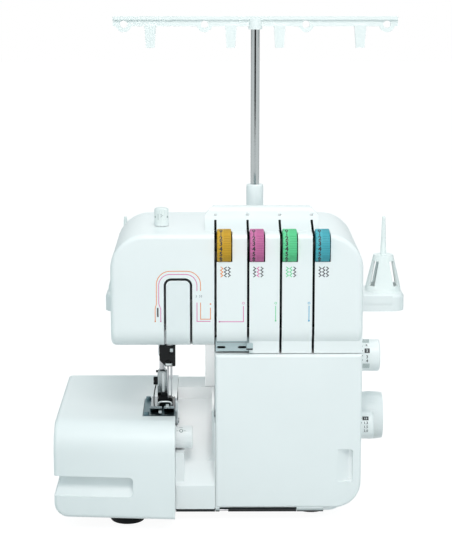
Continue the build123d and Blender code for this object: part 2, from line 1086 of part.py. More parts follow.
with BuildPart() as trim_chute:
    extrude(chute_section(0), amount=chute_right - chute_left)
    block((chute_right - wall, chute_right), (cover_back, chute_back + wall), (base_top, ledge_top))
    slide = trim_chute.faces().filter_by(GeomType.CYLINDER).sort_by(Axis.X)[0]
    corner = (chute_right - wall - fit, chute_right - wall + fit)
    fillet(slide.edges().filter_by_position(Axis.X, *corner), chute_blend)
    block(
        (chute_left, chute_left + knob_rib_width),
        (face_y + knob_rib_setback, chute_back),
        (chute_lip, width_knob_z - width_knob_radius - knob_rib_gap),
    )
    extrude(chute_section(wall), amount=chute_right - chute_left - wall, mode=Mode.SUBTRACT)
    block(
        (chute_left, chute_right),
        (frame_front - reach, split_y),
        (base_top, root_top + seam),
        Mode.SUBTRACT,
    )

# Rear bed strip behind the ledge
with BuildPart() as rear_bed:
    block((chute_left, rear_column_left - seam), (split_y, bed_back), (base_top, ledge_top))
    fillet(rear_bed.faces().sort_by(Axis.Z)[-1].edges().sort_by(Axis.Y)[-1], bed_edge)
    block(
        (chute_left, rear_column_left - seam - wall),
        (split_y, bed_back - wall),
        (base_top, ledge_top - wall),
        Mode.SUBTRACT,
    )


# Head: a block with rounded top corners and a chin that curves in, for the outside and the inside
def head_solid(inset, back):
    """The head's outside form, or with an inset the space inside it."""
    with BuildPart() as form:
        with BuildSketch(side_plane(head_left + inset)) as side:
            rectangle((face_y + inset, back), (head_bottom + inset, head_top - inset))
            fillet(side.vertices().group_by(Axis.Y)[0].sort_by(Axis.X)[0], chin - inset)
        extrude(amount=head_width - 2 * inset)
        with BuildSketch(front_plane(face_y)) as outline:
            rectangle((head_left + inset, head_right - inset), (head_bottom - chin, head_top - inset))
            fillet(outline.vertices().group_by(Axis.Y)[-1], head_corner - inset)
        extrude(amount=-(back - face_y), mode=Mode.INTERSECT)
        face_edges = form.edges().filter_by_position(Axis.Y, face_y + inset - fit, face_y + inset + fit)
        rim = [e for e in face_edges if e.center().Z > head_bottom + chin + seam]
        fillet(rim, head_edge - inset)
    return form.part


head_back = split_y - seam
head_outside = head_solid(0, head_back)
head_inside = head_solid(wall, head_back + reach)


def tongue_prism(inset):
    """The tongue's opening in the head's front, or with an inset the tongue inside it."""
    with BuildPart() as form:
        with BuildSketch(front_plane(face_y - reach)) as outline:
            sides = (tongue_left + inset, tongue_right - inset)
            rectangle(sides, (head_bottom - reach, tongue_top - inset))
            fillet(outline.vertices().group_by(Axis.Y)[-1], tongue_corner - inset)
        extrude(amount=-(chin + 2 * reach))
    return form.part


with BuildPart() as head_front_cover:
    add(head_outside)
    block(
        (column_left, head_right),
        (face_y + panel_setback, head_back),
        (panel_bottom, panel_bottom + panel_height),
    )
    add(head_inside, mode=Mode.SUBTRACT)
    block(
        (column_left + wall, side_wall),
        (face_y + panel_setback + wall, head_back),
        (panel_bottom, head_bottom + panel_height),
        Mode.SUBTRACT,
    )
    block(
        (column_left, column_left + wall),
        (cover_back + seam, head_back),
        (ledge_top + seam, head_bottom + wall),
    )
    block(
        (rear_column_left, column_left + wall),
        (head_back - wall, head_back),
        (ledge_top + seam, head_bottom + wall),
    )
    block(
        (presser_x - throat_left_reach, needle_x + throat_right_reach),
        (face_y + chin, frame_front + throat_back),
        (head_bottom - reach, head_bottom + 2 * wall),
        Mode.SUBTRACT,
    )
    for k in range(slot_count):
        bottom = short_slot_bottom if k < short_slots else panel_bottom - reach
        block(
            (slot_x[k] - slot_width / 2, slot_x[k] + slot_width / 2),
            (face_y - reach, face_y + slot_top_depth),
            (bottom, head_top + reach),
            Mode.SUBTRACT,
        )
        bar_along_x(
            (slot_x[k] - slot_width / 2, dial_right[k] + dial_gap),
            dial_y,
            dial_rise,
            window_radius,
            Mode.SUBTRACT,
        )
    block(
        (slot_x[0] - slot_width / 2, slot_x[1] + slot_width / 2),
        (face_y - reach, face_y + panel_setback + 2 * wall),
        (panel_bottom - reach, short_slot_bottom),
        Mode.SUBTRACT,
    )
    add(tongue_prism(0), mode=Mode.SUBTRACT)
    bar_along_z(
        presser_x,
        presser_y,
        (head_top - 2 * wall, head_top + reach),
        pressure_screw_radius + seam,
        Mode.SUBTRACT,
    )

with BuildPart() as thread_tongue:
    add(head_outside)
    add(head_inside, mode=Mode.SUBTRACT)
    add(tongue_prism(tongue_gap), mode=Mode.INTERSECT)
    block(
        (needle_x + tongue_stem_offset, needle_x + tongue_stem_offset + tongue_stem_width),
        (face_y + wall, head_block_front),
        (head_block_bottom + tongue_stem_rise, head_block_bottom + tongue_stem_rise + tongue_stem_height),
    )


# Rear cover: the back of the head and of the column, with cooling slots and screw recesses
def rear_solid(inset, front):
    """The rear cover's outside form, or with an inset the space inside it."""
    with BuildPart() as form:
        with BuildSketch(front_plane(front)) as outline:
            rectangle((head_left + inset, head_right - inset), (head_bottom + inset, head_top - inset))
            fillet(outline.vertices().group_by(Axis.Y)[-1], head_corner - inset)
            rectangle(
                (rear_column_left + inset, head_right - inset),
                (base_top + inset, head_bottom + head_corner),
            )
            low_corner = outline.vertices().group_by(Axis.Y)[0].sort_by(Axis.X)[-1]
            fillet(low_corner, body_corner - inset)
        extrude(amount=-(body_back - inset - front))
        rear_face = form.faces().sort_by(Axis.Y)[-1]
        fillet(rear_face.edges(), rear_edge - inset)
    return form.part


first_vent = head_right - vent_right_inset - vent_count * vent_pitch
recess_places = [
    (rear_column_left + screw_recess_inset, base_top + screw_recess_inset),
    (head_right - body_corner - screw_recess_inset, base_top + screw_recess_inset),
    (head_left + screw_recess_drop, head_top - screw_recess_drop),
    (head_right - screw_recess_drop, head_top - screw_recess_drop),
]

with BuildPart() as rear_cover:
    add(rear_solid(0, split_y))
    add(rear_solid(wall, split_y), mode=Mode.SUBTRACT)
    for k in range(vent_count):
        vent = first_vent + k * vent_pitch
        block(
            (vent, vent + vent_width),
            (body_back - wall - reach, body_back + reach),
            (vent_z - vent_height / 2, vent_z + vent_height / 2),
            Mode.SUBTRACT,
        )
    for x, z in recess_places:
        recess = (body_back - screw_recess_depth, body_back + reach)
        bar_along_y(x, recess, z, screw_recess_radius, Mode.SUBTRACT)

# Right side cover with bearings for the controls and openings for the inlet and switch
side_front = cover_back + seam
side_back = split_y - seam
side_left = pedestal_right + reach
side_bottom = base_top
side_top = panel_bottom - seam


def side_profile(inset, y):
    """The right cover's front view with its rounded lower corner, or the space inside it."""
    with BuildSketch(front_plane(y)) as outline:
        rectangle((side_left, head_right - inset), (side_bottom + inset, side_top))
        fillet(outline.vertices().group_by(Axis.Y)[0].sort_by(Axis.X)[-1], body_corner - inset)
    return outline.sketch


with BuildPart() as right_cover:
    extrude(side_profile(0, side_front), amount=-(side_back - side_front))
    extrude(side_profile(side_rim, side_front), amount=-wall, mode=Mode.SUBTRACT)
    extrude(side_profile(wall, side_front + wall), amount=side_front - side_back, mode=Mode.SUBTRACT)
    for z in (length_dial_z, feed_dial_z):
        bar_along_x((side_wall - control_boss, side_wall), control_y, z, control_boss)
        bar_along_x(
            (side_wall - control_boss - reach, head_right + reach),
            control_y,
            z,
            control_shaft_radius + fit,
            Mode.SUBTRACT,
        )
    bar_along_x(
        (side_wall - reach, head_right + reach),
        shaft_y,
        shaft_z,
        shaft_radius + bush_wall,
        Mode.SUBTRACT,
    )
    for y, z, width, height in (
        (inlet_y, inlet_z, inlet_width, inlet_height),
        (switch_y, switch_z, switch_width, switch_height),
    ):
        block(
            (side_wall - reach, head_right + reach),
            (y - width / 2 - fit, y + width / 2 + fit),
            (z - height / 2 - fit, z + height / 2 + fit),
            Mode.SUBTRACT,
        )

# Power inlet with its two pins, and the rocker switch in its frame
with BuildPart() as power_inlet:
    block(
        (side_wall - inlet_depth, head_right),
        (inlet_y - inlet_width / 2, inlet_y + inlet_width / 2),
        (inlet_z - inlet_height / 2, inlet_z + inlet_height / 2),
    )
    block(
        (head_right, head_right + inlet_flange),
        (inlet_y - inlet_width / 2 - inlet_flange, inlet_y + inlet_width / 2 + inlet_flange),
        (inlet_z - inlet_height / 2 - inlet_flange, inlet_z + inlet_height / 2 + inlet_flange),
    )
    block(
        (side_wall - inlet_depth + inlet_wall, head_right + inlet_flange),
        (inlet_y - inlet_width / 2 + inlet_wall, inlet_y + inlet_width / 2 - inlet_wall),
        (inlet_z - inlet_height / 2 + inlet_wall, inlet_z + inlet_height / 2 - inlet_wall),
        Mode.SUBTRACT,
    )
    for side in (-1, 1):
        bar_along_x(
            (side_wall - inlet_depth + inlet_wall, head_right - inlet_flange),
            inlet_y + side * inlet_pin_spread / 2,
            inlet_z,
            inlet_pin_radius,
        )

rocker_x = head_right - rocker_rise
rocker_half_width = switch_width / 2 - switch_rim - rocker_side_gap
rocker_half_height = switch_height / 2 - switch_rim - rocker_end_gap
rocker_hole_half = switch_width / 2 - switch_rim + rocker_hole_depth

with BuildPart() as switch_frame:
    block(
        (side_wall - switch_depth, head_right + reach),
        (switch_y - switch_width / 2, switch_y + switch_width / 2),
        (switch_z - switch_height / 2, switch_z + switch_height / 2),
    )
    block(
        (side_wall - switch_depth + switch_floor, head_right + 2 * reach),
        (switch_y - switch_width / 2 + switch_rim, switch_y + switch_width / 2 - switch_rim),
        (switch_z - switch_height / 2 + switch_rim, switch_z + switch_height / 2 - switch_rim),
        Mode.SUBTRACT,
    )
    bar_along_y(
        rocker_x,
        (switch_y - rocker_hole_half, switch_y + rocker_hole_half),
        switch_z,
        rocker_axle + fit,
        Mode.SUBTRACT,
    )

with BuildPart() as power_rocker:
    with BuildSketch(front_plane(switch_y - rocker_half_width)):
        with BuildLine():
            Polyline(
                (rocker_x - rocker_rise, switch_z - rocker_half_height / 2),
                (rocker_x + 2 * rocker_rise, switch_z - rocker_half_height),
                (rocker_x + rocker_rise, switch_z),
                (rocker_x + 2 * rocker_rise, switch_z + rocker_half_height),
                (rocker_x - rocker_rise, switch_z + rocker_half_height / 2),
                close=True,
            )
        make_face()
    extrude(amount=-2 * rocker_half_width)
    axle_half = rocker_hole_half - rocker_side_gap
    bar_along_y(rocker_x, (switch_y - axle_half, switch_y + axle_half), switch_z, rocker_axle)

# Front cover: a shallow shell with a finger pull and hinge knuckles
pull_right = cover_right - pull_inset
pull_left = pull_right - pull_width
pull_top = pull_bottom + pull_height


def cover_outline(inset, y):
    """The front cover's outline with its rounded lower right corner."""
    with BuildSketch(front_plane(y)) as outline:
        rectangle((cover_left + inset, cover_right - inset), (cover_bottom + inset, cover_top - inset))
        fillet(outline.vertices().group_by(Axis.Y)[0].sort_by(Axis.X)[-1], body_corner - inset)
    return outline.sketch


with BuildPart() as pull_cutter:
    with BuildSketch(Plane.XY.offset(pull_bottom)):
        with BuildLine():
            Polyline(
                (pull_left, face_y - reach),
                (pull_left, face_y),
                (pull_right - pull_depth / 2, face_y + pull_depth),
                (pull_right, face_y + pull_depth - reach),
                (pull_right, face_y - reach),
                close=True,
            )
        make_face()
    extrude(amount=pull_height)
    fillet(pull_cutter.edges().filter_by(Axis.Y).group_by(Axis.X)[-1], pull_corner)

with BuildPart() as front_cover:
    extrude(cover_outline(0, face_y), amount=-cover_depth)
    fillet(front_cover.faces().sort_by(Axis.Y)[0].edges(), cover_edge)
    extrude(cover_outline(wall, face_y + wall), amount=-cover_depth, mode=Mode.SUBTRACT)
    block(
        (pull_left, pull_right + wall),
        (face_y + wall / 2, face_y + pull_depth + wall),
        (pull_bottom - wall, pull_top + wall),
    )
    add(pull_cutter.part, mode=Mode.SUBTRACT)
    for knuckle in knuckles:
        block(
            knuckle,
            (hinge_y - hinge_boss / 2, hinge_y + hinge_boss),
            (hinge_z, cover_bottom + reach),
        )
        bar_along_x(knuckle, hinge_y, hinge_z, hinge_boss)
        bar_along_x(knuckle, hinge_y, hinge_z, hinge_radius + fit, Mode.SUBTRACT)

with BuildPart() as cover_hinge_pin:
    bar_along_x((knuckles[0][0], knuckles[1][1]), hinge_y, hinge_z, hinge_radius)

# Top thread guide: a rail on the head's top with an upright flange and four thread holes
guide_left = slot_x[0] - guide_overhang
guide_right = slot_x[-1] + guide_right_overhang
guide_front = dial_y + dial_radius - guide_dial_overlap
guide_back = face_y + guide_setback

with BuildPart() as top_thread_guide:
    with BuildSketch(side_plane(guide_left)):
        with BuildLine():
            Polyline(
                (guide_front, head_top),
                (guide_back, head_top),
                (guide_back, guide_top),
                (guide_back - guide_thickness, guide_top),
            )
            Bezier(
                (guide_back - guide_thickness, guide_top),
                (guide_back - 2 * guide_thickness, head_top + 2 * guide_thickness),
                (guide_front + 3 * guide_thickness, head_top + guide_thickness),
                (guide_front, head_top + seam),
            )
            Line((guide_front, head_top + seam), (guide_front, head_top))
        make_face()
    extrude(amount=guide_right - guide_left)
    with BuildSketch(front_plane(guide_front)) as guide_outline:
        rectangle((guide_left, guide_right), (head_top, guide_top))
        chamfer(guide_outline.vertices().group_by(Axis.Y)[-1], guide_corner)
    extrude(amount=-(guide_back - guide_front), mode=Mode.INTERSECT)
    for x in slot_x:
        block(
            (x - slot_width / 2, x + slot_width / 2),
            (guide_front - reach, face_y + slot_top_depth),
            (head_top - reach, guide_top),
            Mode.SUBTRACT,
        )
        hole_z = guide_top - guide_hole_drop
        bar_along_y(x, (guide_front, guide_back + reach), hole_z, guide_hole, Mode.SUBTRACT)

# Lower thread guide: a steel strip under the first panel
with BuildPart() as lower_thread_guide:
    with BuildSketch(front_plane(face_y + panel_setback + 2 * wall - strip_thickness)):
        rectangle(
            (slot_x[0], slot_x[1] + slot_width),
            (panel_bottom + reach, short_slot_bottom + wall),
        )
        for x in (slot_x[0] + strip_slot_inset, slot_x[1] - strip_slot_inset):
            with Locations((x, panel_bottom + strip_slot_rise)):
                SlotOverall(strip_slot_length, strip_slot_width, mode=Mode.SUBTRACT)
    extrude(amount=-strip_thickness)

# Tension units: carrier, studs, discs and four dials
rib_left = carrier_rib + carrier_rib_gap
rib_height = (dial_rise - carrier_rib_drop, dial_rise + carrier_rib_rise)

with BuildPart() as tension_carrier:
    block(
        (slot_x[0] + carrier_inset, dial_right[-1] + carrier_right_margin),
        (carrier_front, carrier_back),
        (head_bottom + carrier_bottom_gap, head_top - 2 * wall),
    )
    for k in range(slot_count):
        for x in (slot_x[k] - rib_left, dial_right[k] + dial_gap + seam):
            block((x, x + carrier_rib), (dial_y - carrier_rib_front, carrier_front), rib_height)
            stud_hole = (x - reach, x + carrier_rib + reach)
            bar_along_x(stud_hole, dial_y, dial_rise, stud_radius, Mode.SUBTRACT)
    block(
        (slot_x[0] - rib_left, slot_x[0] + carrier_inset + reach),
        (carrier_front, carrier_back),
        rib_height,
    )
    for x in (slot_x[0] + carrier_post_offset, slot_x[short_slots] + carrier_post_offset):
        arm_middle = (frame_arm_bottom + frame_arm_top) / 2
        bar_along_y(x, (carrier_back, frame_front), arm_middle, carrier_post_radius)

with BuildPart() as tension_studs:
    for k in range(slot_count):
        stud = (slot_x[k] - rib_left, dial_right[k] + dial_gap + seam + carrier_rib)
        bar_along_x(stud, dial_y, dial_rise, stud_radius)

with BuildPart() as tension_discs:
    for k in range(slot_count):
        for x in (slot_x[k] - 2 * disc_thickness, slot_x[k] + disc_thickness / 2):
            bar_along_x((x, x + disc_thickness), dial_y, dial_rise, disc_radius)
            bar_along_x((x - reach, x + reach), dial_y, dial_rise, stud_radius, Mode.SUBTRACT)


def tension_dial(k):
    """One dial: a drum with a plain numbered band and a ribbed grip band."""
    with BuildPart() as dial:
        bar_along_x((dial_left[k], dial_right[k]), dial_y, dial_rise, dial_radius)
        chamfer(dial.edges().filter_by(GeomType.CIRCLE), edge_break)
        with Locations(Location((dial_left[k] + dial_width / 2, dial_y, dial_rise), (0, 90, 0))):
            with PolarLocations(dial_radius + groove_rise, dial_grooves):
                Cylinder(
                    groove_radius,
                    dial_width,
                    align=(Align.CENTER, Align.CENTER, Align.MIN),
                    mode=Mode.SUBTRACT,
                )
        bar_along_x(
            (dial_left[k] - reach, dial_right[k] + reach),
            dial_y,
            dial_rise,
            stud_radius + fit,
            Mode.SUBTRACT,
        )
    return dial.part


dials = [tension_dial(k) for k in range(slot_count)]

# Main shaft, bushes, pulleys, belt, motor and handwheel
shaft_left = frame_column_left - reach
crank_left = frame_column_right + crank_gap
wheel_left = head_right + handwheel_gap

with BuildPart() as main_shaft:
    bar_along_x((shaft_left, wheel_left + shaft_hold), shaft_y, shaft_z, shaft_radius)
    crank = (crank_left, crank_left + crank_width)
    bar_along_x(crank, shaft_y + crank_throw, shaft_z, shaft_radius + crank_wall)

with BuildPart() as shaft_bushes:
    for limits in ((frame_column_left, frame_column_right), (pedestal_left, pedestal_right)):
        bar_along_x(limits, shaft_y, shaft_z, shaft_radius + bush_wall)
    bar_along_x((shaft_left, wheel_left), shaft_y, shaft_z, shaft_radius + fit, Mode.SUBTRACT)

with BuildPart() as shaft_pulley:
    bar_along_x((pulley_left, pulley_right), shaft_y, shaft_z, shaft_pulley_radius)
    for x in (pulley_left - pulley_flange, pulley_right):
        bar_along_x((x, x + pulley_flange), shaft_y, shaft_z, shaft_pulley_radius + belt_thickness)
    pulley_bore = (pulley_left - 2 * reach, pulley_right + 2 * reach)
    bar_along_x(pulley_bore, shaft_y, shaft_z, shaft_radius, Mode.SUBTRACT)

belt_inside = pulley_left + belt_side_gap
belt_width = pulley_width - 2 * belt_side_gap

with BuildPart() as drive_belt:
    with BuildSketch(side_plane(belt_inside)):
        with Locations((shaft_y, shaft_z)):
            Circle(shaft_pulley_radius + belt_gap + belt_thickness)
        with Locations((motor_y, motor_z)):
            Circle(motor_pulley_radius + belt_gap + belt_thickness)
        make_hull()
    extrude(amount=belt_width)
    with BuildSketch(side_plane(belt_inside)):
        with Locations((shaft_y, shaft_z)):
            Circle(shaft_pulley_radius + belt_gap)
        with Locations((motor_y, motor_z)):
            Circle(motor_pulley_radius + belt_gap)
        make_hull()
    extrude(amount=belt_width, mode=Mode.SUBTRACT)

motor_left = frame_column_right + motor_gap
motor_right = pedestal_left - motor_end_gap

with BuildPart() as motor:
    bar_along_x((motor_left, motor_right), motor_y, motor_z, motor_radius)
    chamfer(motor.edges().filter_by(GeomType.CIRCLE), motor_chamfer)
    block(
        (motor_left + motor_foot_inset, motor_right - motor_foot_inset),
        (motor_y - motor_foot_half, motor_y + motor_foot_half),
        (frame_top, motor_z - motor_radius / 2),
    )
    motor_bore = (motor_left - reach, motor_right + reach)
    bar_along_x(motor_bore, motor_y, motor_z, motor_shaft_radius + fit, Mode.SUBTRACT)

with BuildPart() as motor_pulley:
    motor_shaft = (motor_left + motor_shaft_inset, pulley_right + 2 * reach)
    bar_along_x(motor_shaft, motor_y, motor_z, motor_shaft_radius)
    bar_along_x((pulley_left, pulley_right), motor_y, motor_z, motor_pulley_radius)
    for x in (pulley_left - pulley_flange, pulley_right):
        bar_along_x((x, x + pulley_flange), motor_y, motor_z, motor_pulley_radius + belt_thickness)

with BuildPart() as handwheel:
    with BuildSketch(Plane.XZ) as wheel_section:
        with BuildLine():
            Line((0, 0), (handwheel_radius - handwheel_rim, 0))
            ThreePointArc(
                (handwheel_radius - handwheel_rim, 0),
                (handwheel_radius, handwheel_width / 2),
                (handwheel_radius - handwheel_rim, handwheel_width),
            )
            Polyline((handwheel_radius - handwheel_rim, handwheel_width), (0, handwheel_width), (0, 0))
        make_face()
        corners = wheel_section.vertices().group_by(Axis.X)[-1].sort_by(Axis.Y)
        fillet(corners[0], handwheel_rim)
        fillet(corners[1], handwheel_corner)
    revolve(axis=Axis.Z)
    with PolarLocations(handwheel_radius + handwheel_groove_rise, handwheel_grooves):
        Cylinder(
            handwheel_groove,
            handwheel_width,
            align=(Align.CENTER, Align.CENTER, Align.MIN),
            mode=Mode.SUBTRACT,
        )
    Cylinder(shaft_radius, shaft_hold, align=(Align.CENTER, Align.CENTER, Align.MIN), mode=Mode.SUBTRACT)

handwheel_place = Location((wheel_left, shaft_y, shaft_z), (0, 90, 0))


full_turn = 360
forward_angle = 270


def side_dial(radius, width, z, teeth):
    """A control dial on the right side: a drum with a ribbed grip beside its printed front."""
    left = head_right + side_gap
    grip_start = forward_angle + control_print_angle / 2
    with BuildPart() as dial:
        bar_along_x((left, left + width), control_y, z, radius)
        fillet(dial.faces().sort_by(Axis.X)[-1].edges(), control_round)
        with Locations(Location((left + control_grip_inset, control_y, z), (0, 90, 0))):
            with PolarLocations(
                radius + groove_rise, teeth, grip_start, full_turn - control_print_angle, endpoint=True
            ):
                Cylinder(
                    control_groove,
                    control_grip_width,
                    align=(Align.CENTER, Align.CENTER, Align.MIN),
                    mode=Mode.SUBTRACT,
                )
        clip = side_wall - control_boss - seam
        bar_along_x((clip - control_clip_width, left + reach), control_y, z, control_shaft_radius)
        bar_along_x((clip - control_clip_width, clip), control_y, z, control_shaft_radius + control_clip)
    return dial.part


stitch_length_dial = side_dial(length_dial_radius, length_dial_width, length_dial_z, length_dial_teeth)
differential_dial = side_dial(feed_dial_radius, feed_dial_width, feed_dial_z, feed_dial_teeth)

with BuildPart() as stitch_width_knob:
    knob = (arm_right + seam, arm_right + seam + width_knob_length)
    bar_along_x(knob, width_knob_y, width_knob_z, width_knob_radius)
    chamfer(stitch_width_knob.edges().filter_by(GeomType.CIRCLE), width_knob_chamfer)
    with Locations(Location((knob[0], width_knob_y, width_knob_z), (0, 90, 0))):
        with PolarLocations(width_knob_radius + groove_rise, width_knob_grooves):
            Cylinder(
                width_knob_groove,
                width_knob_length,
                align=(Align.CENTER, Align.CENTER, Align.MIN),
                mode=Mode.SUBTRACT,
            )
    knob_shaft = (arm_right - width_knob_shaft, arm_right + reach)
    bar_along_x(knob_shaft, width_knob_y, width_knob_z, control_shaft_radius)

# Presser bar with its foot, spring, pressure knob and lifting lever
spring_bottom = pressure_seat - spring_length
spring_rise = spring_length - 2 * (spring_wire + spring_end_gap)

with BuildPart() as pressure_knob:
    bar_along_z(
        presser_x,
        presser_y,
        (head_top + seam, head_top + seam + pressure_knob_height),
        pressure_knob_radius,
    )
    chamfer(pressure_knob.faces().sort_by(Axis.Z)[-1].edges(), control_chamfer)
    with Locations((presser_x, presser_y, head_top + pressure_knob_collar)):
        with PolarLocations(pressure_knob_radius + groove_rise, pressure_knob_grooves):
            Cylinder(
                pressure_knob_groove,
                pressure_knob_height,
                align=(Align.CENTER, Align.CENTER, Align.MIN),
                mode=Mode.SUBTRACT,
            )
    bar_along_z(presser_x, presser_y, (pressure_seat, head_top + reach), pressure_screw_radius)

lever_left = presser_x - lever_left_half
lever_right = presser_x + lever_right_half
lift_pad = lever_pivot_z + lever_hub + lever_pad_gap

with BuildPart() as presser_bar:
    bar_top_end = pressure_seat - presser_bar_gap
    bar_along_z(presser_x, presser_y, (presser_bar_bottom, bar_top_end), presser_bar_radius)
    collar = (spring_bottom - collar_thickness, spring_bottom)
    bar_along_z(presser_x, presser_y, collar, spring_radius + collar_margin)
    block(
        (presser_x - ankle_half, presser_x + ankle_half),
        (presser_y - ankle_half, lever_pivot_y + lever_arm_half),
        (lift_pad, lift_pad + wall),
    )

with BuildPart() as presser_spring:
    with BuildLine() as spring_path:
        Helix(spring_rise / spring_turns, spring_rise, spring_radius)
    with BuildSketch(Plane(origin=spring_path.line @ 0, z_dir=spring_path.line % 0)):
        Circle(spring_wire)
    sweep()

spring_place = Location((presser_x, presser_y, spring_bottom + spring_wire + spring_end_gap))

with BuildPart() as presser_foot:
    shank = (presser_x - shank_half, presser_x + shank_half)
    with BuildSketch(front_plane(presser_y - shank_depth)) as shank_outline:
        rectangle(shank, (shank_bottom, shank_top))
        fillet(shank_outline.vertices().group_by(Axis.Y)[-1], shank_crown)
    extrude(amount=-2 * shank_depth)
    fillet(presser_foot.edges().filter_by(Axis.Z), shank_round)
    ankle = (presser_y - ankle_half, presser_y + ankle_half)
    block(shank, ankle, (sole_bottom + reach, shank_bottom + reach))
    with BuildSketch(side_plane(sole_left)) as sole_profile:
        with BuildLine():
            Polyline(
                (sole_back, sole_bottom),
                (sole_front + toe_length, sole_bottom),
                (sole_front, sole_bottom + toe_rise),
                (sole_front + reach, sole_bottom + toe_rise + toe_thickness),
                (sole_front + toe_length + reach, sole_bottom + sole_thickness),
                (sole_back, sole_bottom + sole_thickness),
                close=True,
            )
        make_face()
    extrude(amount=sole_right - sole_left)
    block(
        (needle_x - needle_notch_left, needle_x + needle_notch_back),
        (needle_y - needle_notch_front - needle_notch_back, needle_y + needle_notch_front),
        (sole_bottom - reach, sole_bottom + sole_clearance),
        Mode.SUBTRACT,
    )
    block(
        (needle_x - sole_slot_offset - sole_slot, needle_x - sole_slot_offset),
        (sole_front - reach, needle_y),
        (sole_bottom - reach, sole_bottom + sole_clearance),
        Mode.SUBTRACT,
    )
    shank_bore = (presser_bar_bottom, shank_top + reach)
    bar_along_z(presser_x, presser_y, shank_bore, presser_bar_radius, Mode.SUBTRACT)

screw_end = presser_x - shank_half - foot_screw_length
foot_screw_z = shank_bottom + foot_screw_rise

with BuildPart() as foot_screw:
    bar_along_x((screw_end, presser_x - shank_half), presser_y, foot_screw_z, foot_screw_radius)
    block(
        (screw_end - reach, screw_end + reach),
        (presser_y - foot_screw_radius, presser_y + foot_screw_radius),
        (foot_screw_z - foot_screw_slot / 2, foot_screw_z + foot_screw_slot / 2),
        Mode.SUBTRACT,
    )

lever_tip_y = lever_pivot_y + lever_length - lever_root / 2

with BuildPart() as presser_lever:
    with BuildSketch(side_plane(lever_left)) as lever_outline:
        with Locations((lever_pivot_y, lever_pivot_z)):
            Circle(lever_hub)
        with BuildLine():
            Polyline(
                (lever_pivot_y - lever_root, lever_pivot_z - lever_arm_half),
                (lever_pivot_y + lever_arm_half, lever_pivot_z + lever_root),
                (lever_pivot_y + lever_length, lever_pivot_z - lever_drop + lever_arm_half),
                (lever_tip_y - lever_root / 2, lever_pivot_z - lever_drop - lever_arm_half),
                close=True,
            )
        make_face()
        with Locations((lever_tip_y, lever_pivot_z - lever_drop)):
            Circle(lever_tip_radius)
        with Locations((lever_pivot_y, lever_pivot_z)):
            Circle(stud_radius + fit, mode=Mode.SUBTRACT)
    extrude(amount=lever_right - lever_left)

# Fixed pivot pins of the loopers, the upper knife and the presser lever
with BuildPart() as pivot_pins:
    for place in (lower_pivot, upper_pivot):
        looper_length = (arm_front + arm_wall, upper_plane + looper_thickness + reach)
        bar_along_y(place[0], looper_length, place[1], looper_pin)
    knife_pin = (arm_right - 2 * arm_wall, bed_right + knife_pin_end)
    bar_along_x(knife_pin, knife_pivot_y, knife_pivot_z, stud_radius)
    lever_pin = (presser_x - lever_lug_far, lever_right + reach)
    bar_along_x(lever_pin, lever_pivot_y, lever_pivot_z, stud_radius)

# Needle bar, clamp, screws and the two needles
bar_seat = clamp_bottom + needle_bar_hold
needle_top = clamp_bottom + needle_hold

with BuildPart() as needle_bar:
    bar_along_z(needle_x, needle_y, (bar_seat, needle_bar_top), needle_bar_radius)

with BuildPart() as needle_clamp:
    with BuildSketch(front_plane(clamp_front)):
        with BuildLine():
            Polyline(
                (clamp_left + clamp_cut, clamp_bottom),
                (clamp_right, clamp_bottom),
                (clamp_right, clamp_top),
                (clamp_left, clamp_top),
                (clamp_left, clamp_bottom + clamp_cut),
                close=True,
            )
        make_face()
    extrude(amount=-clamp_depth)
    bar_along_z(needle_x, needle_y, (bar_seat, clamp_top + reach), needle_bar_radius, Mode.SUBTRACT)
    for side in (-1, 1):
        bar_along_z(
            needle_x + side * needle_pitch / 2,
            needle_y,
            (clamp_bottom - reach, needle_top),
            needle_shank,
            Mode.SUBTRACT,
        )

with BuildPart() as clamp_screws:
    for side in (-1, 1):
        bar_along_y(
            needle_x + side * needle_pitch / 2,
            (clamp_front - clamp_screw_head, clamp_front),
            clamp_bottom + clamp_screw_rise * (side + 2),
            clamp_screw_radius,
        )

with BuildPart() as needles:
    with BuildSketch(Plane.XZ) as needle_section:
        with BuildLine():
            Polyline(
                (0, needle_tip),
                (needle_radius, needle_tip + needle_point),
                (needle_radius, clamp_bottom - needle_blade),
                (needle_shank, clamp_bottom - needle_blade + needle_taper),
                (needle_shank, needle_top),
                (0, needle_top),
                close=True,
            )
        make_face()
    needle = revolve(axis=Axis.Z, mode=Mode.PRIVATE)
    for side in (-1, 1):
        add(needle.moved(Location((needle_x + side * needle_pitch / 2, needle_y, 0))))

# Thread stand, post, rod, guide bar, pins and cone holders
with BuildPart() as thread_stand:
    with BuildSketch(Plane.XY.offset(stand_bottom)) as stand_plan:
        rectangle((stand_left, stand_right), (stand_front, stand_back))
        fillet(stand_plan.vertices(), stand_corner)
    extrude(amount=stand_height)
    fillet(thread_stand.faces().sort_by(Axis.Z)[-1].edges(), stand_edge)
    with BuildSketch(Plane.XY.offset(stand_bottom)) as hollow_plan:
        rectangle(
            (stand_left + stand_wall, stand_right - stand_wall),
            (stand_front + stand_wall, stand_back - stand_wall),
        )
        fillet(hollow_plan.vertices(), stand_corner - stand_wall)
    extrude(amount=stand_height - stand_wall, mode=Mode.SUBTRACT)
    block(
        (head_right + stand_panel_gap, stand_right - stand_panel_inset),
        (stand_front - stand_panel_depth, stand_front + stand_wall),
        (stand_bottom + stand_panel_bottom, stand_top - reach),
    )
    bar_along_z(post_x, post_y, (stand_bottom, stand_top), post_radius + stand_wall)
    bar_along_z(post_x, post_y, (stand_bottom - reach, stand_top + reach), post_radius, Mode.SUBTRACT)

with BuildPart() as guide_post:
    bar_along_z(post_x, post_y, (post_bottom, post_top), post_radius)
    chamfer(guide_post.faces().sort_by(Axis.Z)[-1].edges(), post_chamfer)
    bar_along_z(post_x, post_y, (post_bottom + wall, post_top + reach), rod_radius + fit, Mode.SUBTRACT)

